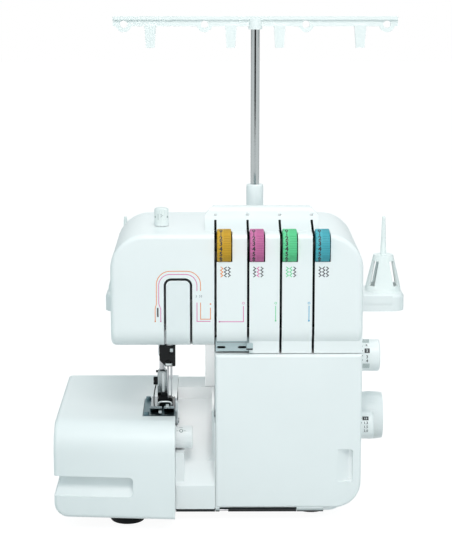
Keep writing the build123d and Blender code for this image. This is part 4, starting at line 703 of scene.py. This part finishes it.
# Stitch icons under the dials: columns of looped stitches, up to two in the thread's colour
ICON_BELOW_DIAL = 12.5
ICON_BOTTOM = box_of(DIALS[0])[2][0] / MM - ICON_BELOW_DIAL
ICON_ROW = 3.3
ICON_ROWS = 3
ICON_COLUMN = 3.5
ICON_OFFSET = 4.5
ICON_LEAN = 1.05
ICON_THREADS = {"orange": (0,), "pink": (1,), "green": (0, 1), "blue": ()}
ICON_COLUMNS = 3
ICON_LINE = 0.85


def stitch_column(x, lean):
    """One column of looped stitches."""
    path = []
    for row in range(2 * ICON_ROWS + 1):
        sway = lean if row % 2 else -lean
        path.append((x + sway, ICON_BOTTOM + ICON_ROW * row / 2))
    return ribbon(path, ICON_LINE)


for dial_start, (ink, threads) in zip(dial_starts, ICON_THREADS.items()):
    start = dial_start + ICON_OFFSET
    columns = [stitch_column(start + ICON_COLUMN * k, ICON_LEAN * (-1) ** k) for k in range(ICON_COLUMNS)]
    own = [column for k, column in enumerate(columns) if k in threads]
    rest = [column for k, column in enumerate(columns) if k not in threads]
    if own:
        mark("icon_" + ink, ink, own)
    mark("icon_dark_" + ink, "slate", rest)

# Numbers on the tension dials
DIAL_FIGURES = 10
DIAL_STEPS = 20
FRONT_FIGURE = 4
FIGURE_HEIGHT = 4.3
FIGURE_BOLD = 0.035
FIGURE_INSET = 3.7
TICK_INSET = 0.5
TICK_LENGTH = 0.9
TICK_WIDTH = 0.4
for index, name in enumerate(DIALS):
    (left, right), (front, back), (low, high) = box_of(name)
    radius = (high - low) / 2
    pitch = 2 * pi * radius / MM / DIAL_STEPS
    shapes = []
    for figure in range(DIAL_FIGURES):
        rise = (FRONT_FIGURE - figure) * pitch
        place = (left / MM + FIGURE_INSET, rise)
        shapes.append(lettering(str(figure), FIGURE_HEIGHT, place, FIGURE_BOLD))
        tick = (left / MM + TICK_INSET, rise - TICK_WIDTH / 2)
        shapes.append(patch(tick, (tick[0] + TICK_LENGTH, tick[1] + TICK_WIDTH)))
    points, faces = on_drum(joined(shapes), (front + back) / 2, (low + high) / 2, radius)
    piece("figures_" + name, points, faces, inks["black"], f"dial_{index + 1}")

# Prints and painted shade on the right side's dials: lengths in millimetres along the axis, angles above
# the front
def drum_print(name, node, body, color, shapes):
    """Printed shapes and painted shade of one colour round a control on the right side."""
    (left, right), (front, back), (low, high) = box_of(node)
    radius = (high - low) / 2
    points, faces = on_drum(joined(shapes), (front + back) / 2, (low + high) / 2, radius)
    return piece(name, points, faces, inks[color], body)


def drum_radius(node):
    """A control's radius in millimetres."""
    low, high = box_of(node)[2]
    return (high - low) / 2 / MM


SIDE_X = box_of("right_cover")[0][1] / MM
LENGTH_RADIUS = drum_radius("stitch_length_dial")
FEED_RADIUS = drum_radius("differential_dial")
LENGTH_INSET = 3.2
FEED_INSET = 5.2
DOT_RADIUS = 0.5
length_x = SIDE_X + LENGTH_INSET
feed_x = SIDE_X + FEED_INSET


def turned(radius, degrees):
    """The height along a drum's surface at an angle above its front."""
    return radius * radians(degrees)


def tall(sides, radius, angles, steps=6):
    """A block between two angles, with cross lines, so that it follows a drum."""
    low, high = (turned(radius, angle) for angle in angles)
    rises = [low + (high - low) * k / steps for k in range(steps + 1)]
    points = [(side, rise) for side in sides for rise in rises]
    return points, [(k, steps + 1 + k, steps + 2 + k, k + 1) for k in range(steps)]


def grip_bars(x, radius, angles, count=6, pitch=1.15, width=0.6):
    """A block of grey bars between two angles, painted shade that stands for the shade between grip ribs.
    """
    return [tall((x + pitch * k, x + pitch * k + width), radius, angles) for k in range(count)]


def figures(rows, radius):
    """Printed figures; each row has a text, its height, its place along the axis and its angle."""
    return [lettering(text, height, (x, turned(radius, angle))) for text, height, x, angle in rows]


def dots(x, radius, angles):
    """A column of printed dots."""
    return [disc((x, turned(radius, angle)), DOT_RADIUS) for angle in angles]


UPPER_GRIP = (62, 92)
LOWER_GRIP = (-40, -19)
# Painted shade: grey bars over the dial's grip ribs stand for the shade between them
drum_print(
    "length_dial_grip_shade",
    "stitch_length_dial",
    "length_control",
    "mist",
    grip_bars(length_x, LENGTH_RADIUS, UPPER_GRIP) + grip_bars(length_x, LENGTH_RADIUS, LOWER_GRIP),
)
LENGTH_FIGURES = (
    ("R", 2.4, length_x + 3.8, 50),
    ("3", 3, length_x + 4, 7),
    ("4", 3, length_x + 4, -8),
)
LENGTH_BLOCK = (20, 37)
LENGTH_DOTS = (46, 28, 11, -5)
drum_print(
    "length_dial_figures",
    "stitch_length_dial",
    "length_control",
    "black",
    figures(LENGTH_FIGURES, LENGTH_RADIUS)
    + [tall((length_x + 1.6, length_x + 6.6), LENGTH_RADIUS, LENGTH_BLOCK)]
    + dots(length_x - 0.6, LENGTH_RADIUS, LENGTH_DOTS),
)
FEED_FIGURES = (
    ("1.3", 2.6, feed_x + 2, 25),
    ("1.5", 2.6, feed_x + 2, 8),
    ("2.0", 2.6, feed_x + 2, -9),
)
FEED_BLOCK = (36, 54)
FEED_DOTS = (45, 25)
drum_print(
    "feed_dial_figures",
    "differential_dial",
    "feed_control",
    "black",
    figures(FEED_FIGURES, FEED_RADIUS)
    + [tall((feed_x - 1.2, feed_x + 4.8), FEED_RADIUS, FEED_BLOCK)]
    + dots(feed_x - 2.4, FEED_RADIUS, FEED_DOTS),
)

# The figure that each dial is set to, white on its black block
SET_FIGURES = (
    ("stitch_length_dial", "length_control", LENGTH_RADIUS, ("2", 2.6, length_x + 4.1, 28.5)),
    ("differential_dial", "feed_control", FEED_RADIUS, ("1.0", 2.0, feed_x + 1.8, 45)),
)
for node, body, radius, row in SET_FIGURES:
    (left, right), (front, back), (low, high) = box_of(node)
    shape = joined(figures([row], radius))
    points, faces = on_drum(shape, (front + back) / 2, (low + high) / 2, (radius + DRUM_LIFT) * MM)
    piece("set_figure_" + body, points, faces, inks["white"], body)

# A round symbol with lines on the stitch width knob
SYMBOL_INSET = 11
SYMBOL_ANGLE = 47
SYMBOL_RADIUS = 1.5
SYMBOL_LINE = 0.9
DASH_LINE = 0.5
ARROW_STROKE = 0.6
(_, knob_right), (knob_front, knob_back), (knob_low, knob_high) = box_of("stitch_width_knob")
knob_radius = (knob_high - knob_low) / 2
symbol_x = knob_right / MM - SYMBOL_INSET
symbol_z = turned(knob_radius / MM, SYMBOL_ANGLE)
points, faces = on_drum(
    joined(
        [
            ribbon(arc((symbol_x, symbol_z), SYMBOL_RADIUS, 0, 360, 20), SYMBOL_LINE),
            ribbon([(symbol_x - 4.4, symbol_z), (symbol_x - 2.4, symbol_z)], DASH_LINE),
            ribbon([(symbol_x + 2.4, symbol_z), (symbol_x + 4.4, symbol_z)], DASH_LINE),
            ribbon([(symbol_x - 5, symbol_z + 6), (symbol_x - 3, symbol_z + 5)], ARROW_STROKE),
            ribbon([(symbol_x - 2, symbol_z + 4.6), (symbol_x + 1.5, symbol_z + 4.2)], ARROW_STROKE),
        ]
    ),
    (knob_front + knob_back) / 2,
    (knob_low + knob_high) / 2,
    knob_radius,
)
piece("width_knob_symbol", points, faces, inks["pale"], "width_control")


# Small hardware: pieces drawn in millimetres
def rounded(low, high, corner, steps=4):
    """The outline of a rectangle with round corners."""
    right, top = high[0] - corner, high[1] - corner
    left, bottom = low[0] + corner, low[1] + corner
    centers = ((right, top), (left, top), (left, bottom), (right, bottom))
    outline = []
    for quarter, center in enumerate(centers):
        outline += arc(center, corner, 90 * quarter, 90 * quarter + 90, steps)
    return outline


def prism(outline, near, far, axis):
    """A flat outline drawn out between two depths along an axis, 0 to 2 for X to Z."""
    def placed(point, depth):
        place = list(point)
        place.insert(axis, depth)
        return tuple(place)

    count = len(outline)
    points = [placed(point, near) for point in outline] + [placed(point, far) for point in outline]
    sides = [(k, (k + 1) % count, count + (k + 1) % count, count + k) for k in range(count)]
    return points, sides + [tuple(reversed(range(count))), tuple(range(count, 2 * count))]


def bend(places, steps=6):
    """A smooth path through places in space."""
    spots = [Vector(place) for place in places]
    path = []
    for index in range(len(spots) - 1):
        start, end = spots[index], spots[index + 1]
        before = spots[index - 1] if index else start * 2 - end
        after = spots[index + 2] if index + 2 < len(spots) else end * 2 - start
        for k in range(steps):
            t = k / steps
            path.append(
                start
                + (end - before) * (0.5 * t)
                + (before * 2 - start * 5 + end * 4 - after) * (0.5 * t * t)
                + (start * 3 - before - end * 3 + after) * (0.5 * t * t * t)
            )
    return path + [spots[-1]]


def tube(path, radius, sides=10):
    """A round wire along a path in space, closed at both ends."""
    points = []
    across = None
    last = len(path) - 1
    for index, place in enumerate(path):
        along = (Vector(path[min(index + 1, last)]) - Vector(path[max(index - 1, 0)])).normalized()
        across = along.orthogonal() if across is None else across - along * across.dot(along)
        across.normalize()
        other = along.cross(across)
        for k in range(sides):
            turn = 2 * pi * k / sides
            points.append(tuple(Vector(place) + (across * cos(turn) + other * sin(turn)) * radius))
    faces = []
    for ring in range(last):
        for k in range(sides):
            here, beside = ring * sides + k, ring * sides + (k + 1) % sides
            faces.append((here, beside, beside + sides, here + sides))
    faces.append(tuple(reversed(range(sides))))
    faces.append(tuple(range(last * sides, (last + 1) * sides)))
    return points, faces


EDGE = 0.15


def hardware(name, shapes, material, body, smooth=False):
    """A small piece drawn in millimetres, with softened edges."""
    points, faces = joined(shapes)
    thing = piece(name, [tuple(c * MM for c in point) for point in points], faces, material, body)
    for face in thing.data.polygons:
        face.use_smooth = smooth
    if not smooth:
        edge = thing.modifiers.new("soft_edge", "BEVEL")
        edge.width = EDGE * MM
        edge.segments = 2
    return thing


def limits(node):
    """A node's limits as three pairs, in millimetres."""
    return [(low / MM, high / MM) for low, high in box_of(node)]


def middle(pair):
    return (pair[0] + pair[1]) / 2


def plate(sides, heights, corner, depths):
    """An upright plate with round corners that faces the front."""
    outline = rounded((sides[0], heights[0]), (sides[1], heights[1]), corner)
    return prism(outline, depths[0], depths[1], 1)


def wire(name, places, radius, material, body):
    """A bent wire through places in space."""
    return hardware(name, [tube(bend(places), radius)], material, body, True)


# Needle clamp: a white patch painted as the bright glint of its screw, a thread guide bar and a thread hook
SEATED = 0.2
SMALL_CORNER = 0.3
GLINT_INSET = 2.2
GLINT_WIDTH = 2.9
GLINT_DROP = 2.1
GLINT_HEIGHT = 3.5
GLINT_PROUD = 0.5
clamp_x, clamp_y, clamp_z = limits("needle_clamp")
clamp_front = clamp_y[0]
glint_right = clamp_x[1] - GLINT_INSET
glint_top = clamp_z[1] - GLINT_DROP
# Painted highlight: a small white patch on the clamp's front stands for the bright glint of its screw
hardware(
    "clamp_painted_glint",
    [
        plate(
            (glint_right - GLINT_WIDTH, glint_right),
            (glint_top - GLINT_HEIGHT, glint_top),
            SMALL_CORNER,
            (clamp_front - GLINT_PROUD, clamp_front + SEATED),
        )
    ],
    inks["white"],
    "needle_carrier",
)
BAR_INSET = 3
BAR_LENGTH = 7
BAR_RISE = 1.6
BAR_HEIGHT = 2
BAR_CORNER = 0.6
BAR_THICKNESS = 0.8
BAR_ARM = 0.9
BAR_BEFORE_SCREWS = 1
bar_right = clamp_x[1] - BAR_INSET
bar_left = bar_right - BAR_LENGTH
bar_front = limits("clamp_screws")[1][0] - BAR_BEFORE_SCREWS
bar_heights = (clamp_z[0] + BAR_RISE, clamp_z[0] + BAR_RISE + BAR_HEIGHT)
arm_depths = (bar_front, clamp_front + SEATED)
hardware(
    "clamp_guide_bar",
    [
        plate((bar_left, bar_right), bar_heights, BAR_CORNER, (bar_front, bar_front + BAR_THICKNESS)),
        plate((bar_left, bar_left + BAR_ARM), bar_heights, SMALL_CORNER, arm_depths),
        plate((bar_right - BAR_ARM, bar_right), bar_heights, SMALL_CORNER, arm_depths),
    ],
    bright_steel,
    "needle_carrier",
)
HOOK_WIRE = 0.5
HOOK_ROOT = 1
hook_x = clamp_x[0] - HOOK_WIRE
wire(
    "clamp_thread_hook",
    [
        (clamp_x[0] + HOOK_ROOT, clamp_front + 3, clamp_z[1] - 1),
        (hook_x, clamp_front + 1.5, clamp_z[1] - 2),
        (hook_x, clamp_front + 1, clamp_z[1] - 8),
        (clamp_x[0] + HOOK_ROOT, clamp_front + 2, clamp_z[1] - 10.5),
    ],
    HOOK_WIRE,
    bright_steel,
    "needle_carrier",
)

# Presser foot: rib, pin, wire guard, hoop, hinge block and toe clip
foot_y, foot_z = limits("presser_foot")[1:]
screw_x, screw_y, screw_z = limits("foot_screw")
presser_x = middle(limits("presser_spring")[0])
presser_y = middle(screw_y)
SHANK_DEPTH = 5
SOLE = 2.5
shank_half = presser_x - screw_x[1]
shank_front = presser_y - SHANK_DEPTH
sole_top = foot_z[0] + SOLE
RIB_SIDES = (presser_x - 0.2, presser_x + 2)
RIB_HEIGHTS = (sole_top + 9, foot_z[1] - 2.5)
RIB_CORNER = 1
RIB_DEPTHS = (shank_front - 0.8, shank_front + 0.3)
# A raised rib down the shank's front; its pale finish is a painted highlight that stands for the bright
# stripe on the shank
hardware(
    "shank_rib",
    [plate(RIB_SIDES, RIB_HEIGHTS, RIB_CORNER, RIB_DEPTHS)],
    bright_steel,
    "presser",
)
PIN_DROP = 2
PIN_FORWARD = 2
PIN_PROUD = 1.5
PIN_RADIUS = 1.2
pin_half = shank_half + PIN_PROUD
pin_y = presser_y - PIN_FORWARD
pin_z = foot_z[1] - PIN_DROP
hardware(
    "shank_pin",
    [tube([(presser_x - pin_half, pin_y, pin_z), (presser_x + pin_half, pin_y, pin_z)], PIN_RADIUS, 12)],
    dark_steel,
    "presser",
    True,
)
GUARD_WIRE = 0.6
guard_x = middle(screw_x)
wire(
    "wire_guard",
    [
        (guard_x + 0.6, presser_y - 3.5, screw_z[0] + 1),
        (guard_x - 1, presser_y - 8, screw_z[0] - 6),
        (guard_x - 1, presser_y - 22, sole_top + 4),
        (guard_x + 0.4, presser_y - 36, sole_top + 1.2),
        (guard_x + 4, presser_y - 39, sole_top + 3),
    ],
    GUARD_WIRE,
    black_plastic,
    "presser",
)
HOOP_WIRE = 0.95
HOOP_FORWARD = 22.5
HOOP_SUNK = 0.5
HOOP_SHOULDER = 2.6
HOOP_TOP = 3.8
HOOP_LEAN = 1.5
hoop_y = presser_y - HOOP_FORWARD
hoop_left = presser_x - 3.6
hoop_right = presser_x + 9.2
wire(
    "foot_hoop",
    [
        (hoop_left, hoop_y + HOOP_LEAN, sole_top - HOOP_SUNK),
        (hoop_left + 0.4, hoop_y, sole_top + HOOP_SHOULDER),
        (hoop_left + 3, hoop_y, sole_top + HOOP_TOP),
        (hoop_right - 3, hoop_y, sole_top + HOOP_TOP),
        (hoop_right - 0.4, hoop_y, sole_top + HOOP_SHOULDER),
        (hoop_right, hoop_y + HOOP_LEAN, sole_top - HOOP_SUNK),
    ],
    HOOP_WIRE,
    bright_steel,
    "presser",
)
HINGE_CORNER = 1.8
BOSS_CORNER = 2
hinge_left = presser_x - 4.6
hinge_right = presser_x + 10.2
hinge_heights = (sole_top - SEATED, sole_top + 5.6)
hinge_back = presser_y - 3.8
hinge_front = presser_y - 14
boss_sides = (hinge_left + 3, hinge_right - 4)
boss_heights = (sole_top + 4, sole_top + 9.5)
boss_front = presser_y - 9
hardware(
    "foot_hinge",
    [
        plate((hinge_left, hinge_right), hinge_heights, HINGE_CORNER, (hinge_front, hinge_back)),
        plate(boss_sides, boss_heights, BOSS_CORNER, (boss_front, hinge_back)),
    ],
    black_plastic,
    "presser",
)
CLIP_CORNER = 0.5
upper_clip = ((presser_x + 4.4, presser_x + 7.4), (foot_z[0] + 8, foot_z[0] + 10.8))
lower_clip = ((presser_x - 2.6, presser_x + 0.4), (foot_z[0] + 2.2, foot_z[0] + 4.8))
hardware(
    "toe_clip",
    [
        plate(*upper_clip, CLIP_CORNER, (foot_y[0] - 0.2, foot_y[0] + 2.5)),
        plate(*lower_clip, CLIP_CORNER, (foot_y[0] - 0.4, foot_y[0] + 6)),
    ],
    toe_steel,
    "presser",
)

# Marks at the needle plate's front edge, each with its start and its length
PLATE_MARKS = ((6.8, 2), (9.8, 1.8), (22, 1.4))
MARK_INSET = 3.4
MARK_WIDTH = 1.1
plate_x, plate_y, plate_z = limits("needle_plate")
mark_y = plate_y[0] + MARK_INSET
plate_marks = [
    patch((plate_x[0] + start, mark_y), (plate_x[0] + start + length, mark_y + MARK_WIDTH))
    for start, length in PLATE_MARKS
]
points, faces = joined(plate_marks)
piece(
    "plate_marks",
    [(x * MM, y * MM, (plate_z[1] + PRINT_LIFT) * MM) for x, y in points],
    faces,
    inks["white"],
    "chassis",
)

# Lips that close the seams beside the trim chute, and a dark strip under it that is painted shade
chute_x, chute_y, chute_z = limits("trim_chute")
table_right = limits("extension_table")[0][1]
cover_left = limits("front_cover")[0][0]
cover_back = limits("front_cover")[1][1]
LIP_GAP = 0.06
LIP_INSET = 0.8
LIP_CORNER = 0.2
LIP_DEPTH = 12
LIP_DROP = 6
KNOB_GAP = 1
lip_low = chute_z[0] + LIP_INSET
lip_front = chute_y[0] + LIP_INSET


def lip(name, sides, depth, height):
    """A thin upright lip that closes the seam between two covers."""
    outline = rounded((depth[0], height[0]), (depth[1], height[1]), LIP_CORNER, 2)
    return hardware(name, [prism(outline, sides[0], sides[1], 0)], white_plastic, "chassis")


lip(
    "table_lip",
    (table_right + LIP_GAP, chute_x[0] + LIP_GAP),
    (lip_front, chute_y[0] + LIP_DEPTH),
    (lip_low, limits("stitch_width_knob")[2][0] - KNOB_GAP),
)
lip(
    "cover_lip",
    (chute_x[1] - LIP_GAP, cover_left - 2 * LIP_GAP),
    (lip_front, cover_back),
    (lip_low, chute_z[1] - LIP_DROP),
)
SHADE_STRIP_INSET = 0.5
SHADE_STRIP_DROP = 2.9
SHADE_STRIP_GAP = 0.05
SHADE_STRIP_CORNER = 0.4
SHADE_STRIP_FRONT = 3
SHADE_STRIP_BACK = 6
# Painted shade: a black strip under the trim chute stands for the shade beneath it
hardware(
    "chute_shade_strip",
    [
        plate(
            (chute_x[0] + SHADE_STRIP_INSET, chute_x[1] - SHADE_STRIP_INSET),
            (chute_z[0] - SHADE_STRIP_DROP, chute_z[0] - SHADE_STRIP_GAP),
            SHADE_STRIP_CORNER,
            (chute_y[0] + SHADE_STRIP_FRONT, chute_y[0] + SHADE_STRIP_BACK),
        )
    ],
    black_plastic,
    "chassis",
)

# The lower thread guide's bright end plate, a black patch painted as the shade in its notch, and the line
# above it
GUIDE_DROP = 3
END_CORNER = 0.8
END_PROUD = 0.7
END_GAP = 0.05
END_RISE = 3.2
END_DROP = 0.6
LINE_INSET = 1.2
LINE_HALF = 0.25
NOTCH_REACH = 0.5
NOTCH_INSET = 0.3
guide_x, _, guide_z = limits("lower_thread_guide")
guide_top = guide_z[1] - GUIDE_DROP
end_left = guide_x[1] - 3.4
end_right = guide_x[1] + 2.5
notch_heights = (guide_z[0] + 3.4, guide_z[0] + 4.9)
hardware(
    "guide_end_plate",
    [
        plate(
            (end_left, end_right),
            (guide_z[0] + END_RISE, guide_top - END_DROP),
            END_CORNER,
            (FACE_Y / MM - END_PROUD, FACE_Y / MM - END_GAP),
        )
    ],
    guide_steel,
    "chassis",
)
mark(
    "guide_line",
    "grey",
    [patch((guide_x[0] + LINE_INSET, guide_top - LINE_HALF), (end_left, guide_top + LINE_HALF))],
)
# Painted shade: a black patch stands for the shade inside the notch at the guide's end
notch = patch((end_left - NOTCH_REACH, notch_heights[0]), (end_right - NOTCH_INSET, notch_heights[1]))
points, faces = on_front(notch, FACE_Y - END_PROUD * MM)
piece("guide_notch_shade", points, faces, inks["black"], "chassis")

# Marks round the pressure knob: a dot on each side, a line and an arrow in front
pressure_x, pressure_y, pressure_z = limits("pressure_knob")
pressure_radius = (pressure_y[1] - pressure_y[0]) / 2
MARK_DROP = 8.6
DOT_ANGLE = 58
SIDE_DOT = 1.1
mark_z = pressure_z[1] - MARK_DROP
dot_turn = pressure_radius * radians(DOT_ANGLE)
ARROW = [(-0.6, mark_z + 3), (1.4, mark_z + 1.6), (-0.6, mark_z + 0.2)]
UPRIGHT = [(-3.2, mark_z + 3.4), (-3.2, mark_z - 2.6)]


def on_post(shape, center_x, center_y, radius):
    """A flat shape wrapped round an upright post; zero width faces the front."""
    points, faces = shape
    r = radius + PRINT_LIFT
    wrapped = []
    for along, z in points:
        turn = along / radius
        wrapped.append(((center_x + r * sin(turn)) * MM, (center_y - r * cos(turn)) * MM, z * MM))
    return wrapped, faces


side_dots = [disc((side * dot_turn, mark_z), SIDE_DOT) for side in (-1, 1)]
points, faces = on_post(
    joined(side_dots + [ribbon(ARROW, 0.5), ribbon(UPRIGHT, 0.4)]),
    middle(pressure_x),
    middle(pressure_y),
    pressure_radius,
)
piece("pressure_marks", points, faces, inks["pale"], "pressure_control")

# A coil spring with closed end turns round the presser bar
SPRING_WIRE = 0.6
SPRING_TURNS = 7
END_PITCH = 1.5
TURN_STEPS = 24
spring_x, spring_y, spring_z = limits("presser_spring")
coil_radius = (spring_x[1] - spring_x[0]) / 2 - SPRING_WIRE
coil_low = spring_z[0] + SPRING_WIRE
coil_high = spring_z[1] - SPRING_WIRE
open_turns = SPRING_TURNS - 2
open_pitch = (coil_high - coil_low - 2 * END_PITCH) / open_turns


def coil_height(turn):
    """The height of the spring's wire after some turns, in millimetres."""
    opened = min(max(turn - 1, 0), open_turns) * open_pitch
    closed = (min(turn, 1) + max(turn - 1 - open_turns, 0)) * END_PITCH
    return coil_low + opened + closed


spring_path = []
for step in range(SPRING_TURNS * TURN_STEPS + 1):
    turn = step / TURN_STEPS
    coil_x = middle(spring_x) + coil_radius * cos(2 * pi * turn)
    coil_y = middle(spring_y) + coil_radius * sin(2 * pi * turn)
    spring_path.append((coil_x, coil_y, coil_height(turn)))
coil = hardware("presser_spring_coil", [tube(spring_path, SPRING_WIRE)], steel, "chassis", True)
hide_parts("presser_spring")
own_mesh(coil)


# Camera, light and floor
IMAGE_HEIGHT = 536
FOCAL_PIXELS = 1804
SENSOR = 36
CAMERA_PLACE = (-0.0222, -1.770, 0.5704)
CAMERA_DIP = 10.7
CAMERA_TURN = 0.381
camera_data = bpy.data.cameras.new("camera")
camera_data.sensor_fit = "VERTICAL"
camera_data.sensor_height = SENSOR
camera_data.lens = FOCAL_PIXELS / IMAGE_HEIGHT * SENSOR
camera = add_object("camera", camera_data)
camera.location = CAMERA_PLACE
camera.rotation_euler = (radians(90 - CAMERA_DIP), 0, -radians(CAMERA_TURN))
bpy.context.scene.camera = camera
bpy.context.scene.view_settings.view_transform = "Standard"


def seen_directly(tree):
    """One where a ray comes from the camera, a mirror or glass, and zero for other light."""
    path = tree.nodes.new("ShaderNodeLightPath")
    total = path.outputs["Is Camera Ray"]
    for name in ("Is Glossy Ray", "Is Transmission Ray"):
        node = tree.nodes.new("ShaderNodeMath")
        node.operation = "MAXIMUM"
        link(tree, total, node.inputs[0])
        link(tree, path.outputs[name], node.inputs[1])
        total = node.outputs[0]
    return total


AMBIENT = (0.74, 0.97, 1.0)
AMBIENT_LEVEL = 0.6
world = bpy.data.worlds.new("studio")
world.use_nodes = True
bpy.context.scene.world = world
world_tree = world.node_tree
direct = seen_directly(world_tree)
backdrop = world_tree.nodes["Background"]
tint = ramp(world_tree, direct, AMBIENT, (1, 1, 1), 0, 1)
link(world_tree, tint, backdrop.inputs["Color"])
link(world_tree, spread(world_tree, direct, AMBIENT_LEVEL, 1.0), backdrop.inputs["Strength"])


LAMP_COLOR = (1.0, 0.955, 0.935)


def aimed(name, data, place, target, power):
    """A lamp at a place, turned to its target."""
    data.energy = power
    data.color = LAMP_COLOR
    thing = add_object(name, data)
    thing.location = place
    thing.rotation_euler = (Vector(target) - Vector(place)).to_track_quat("-Z", "Y").to_euler()
    return thing


def soft_box(name, place, target, size, power):
    """A round soft box."""
    data = bpy.data.lights.new(name, "AREA")
    data.shape = "DISK"
    data.size = size
    return aimed(name, data, place, target, power)


def soft_spot(name, place, target, angle, radius, power):
    """A spot with a soft edge, which mirrors don't show."""
    data = bpy.data.lights.new(name, "SPOT")
    data.spot_size = radians(angle)
    data.spot_blend = 1.0
    data.shadow_soft_size = radius
    thing = aimed(name, data, place, target, power)
    thing.visible_glossy = False
    return thing


soft_box("key", place=(0.04, -0.8, 1.1), target=(0.03, -0.05, 0.24), size=0.6, power=5.7)
soft_box("top", place=(0.25, 0.3, 1.6), target=(0, 0, 0.2), size=1.2, power=3.3)
soft_spot("front", place=(0.45, -2.1, 0.33), target=(0.05, 0, 0.26), angle=16.5, radius=0.35, power=74)

# A small lamp under the head that lights the throat
SEWING_PLACE = (-0.041, -0.025, 0.15)
SEWING_TARGET = (-0.041, 0.036, 0.095)
SEWING_LENGTH = 0.04
sewing_light = soft_box("sewing_light", SEWING_PLACE, SEWING_TARGET, size=0.034, power=0.02)
sewing_light.data.shape = "RECTANGLE"
sewing_light.data.size_y = SEWING_LENGTH
sewing_light.visible_camera = False
sewing_light.visible_glossy = False


# Dark cards that only mirrors see, so that polished metal reads as metal
def facing_turn(place):
    """The turn that makes a card face the middle of the scene."""
    return Vector((place[0], place[1])).angle_signed(Vector((0, 1)), 0)


def card(name, place, width, height):
    """An upright dark card, seen only in reflections."""
    data = bpy.data.meshes.new(name)
    half = width / 2
    corners = [(-half, 0, 0), (half, 0, 0), (half, 0, height), (-half, 0, height)]
    data.from_pydata(corners, [], [(0, 1, 2, 3)])
    data.materials.append(card_material)
    thing = add_object(name, data)
    thing.location = place
    thing.rotation_euler = (0, 0, facing_turn(place))
    for ray in ("camera", "diffuse", "transmission", "volume_scatter", "shadow"):
        setattr(thing, "visible_" + ray, False)
    return thing


CARD_COLOR = (0.01, 0.01, 0.01, 1)
card_material, _, card_shader = new_material("card")
card_shader.inputs["Base Color"].default_value = CARD_COLOR
card_shader.inputs["Roughness"].default_value = 1.0
card("front_card", place=(0.05, -3.2, -0.4), width=2.6, height=3.2)
card("left_card", place=(-1.3, 1.9, -0.4), width=1.1, height=3.2)
card("right_card", place=(1.3, 1.9, -0.4), width=1.1, height=3.2)

# A pale floor that keeps its shadow
FLOOR_SIZE = 12
FLOOR_COLOR = (0.6, 0.62, 0.62, 1)
FLOOR_ROUGHNESS = 0.9
FLOOR_GLOW = 1.27
FLOOR_SHARE = 0.75
bpy.ops.mesh.primitive_plane_add(size=FLOOR_SIZE)
floor = bpy.context.object
floor.name = "floor"
floor_material, floor_tree, floor_shader = new_material("floor")
floor_shader.inputs["Base Color"].default_value = FLOOR_COLOR
floor_shader.inputs["Roughness"].default_value = FLOOR_ROUGHNESS
glow = floor_tree.nodes.new("ShaderNodeEmission")
glow.inputs["Strength"].default_value = FLOOR_GLOW
mix = floor_tree.nodes.new("ShaderNodeMixShader")
link(floor_tree, spread(floor_tree, seen_directly(floor_tree), 0, FLOOR_SHARE), mix.inputs["Fac"])
link(floor_tree, floor_shader.outputs["BSDF"], mix.inputs[1])
link(floor_tree, glow.outputs["Emission"], mix.inputs[2])
link(floor_tree, mix.outputs["Shader"], floor_tree.nodes["Material Output"].inputs["Surface"])
floor.data.materials.append(floor_material)
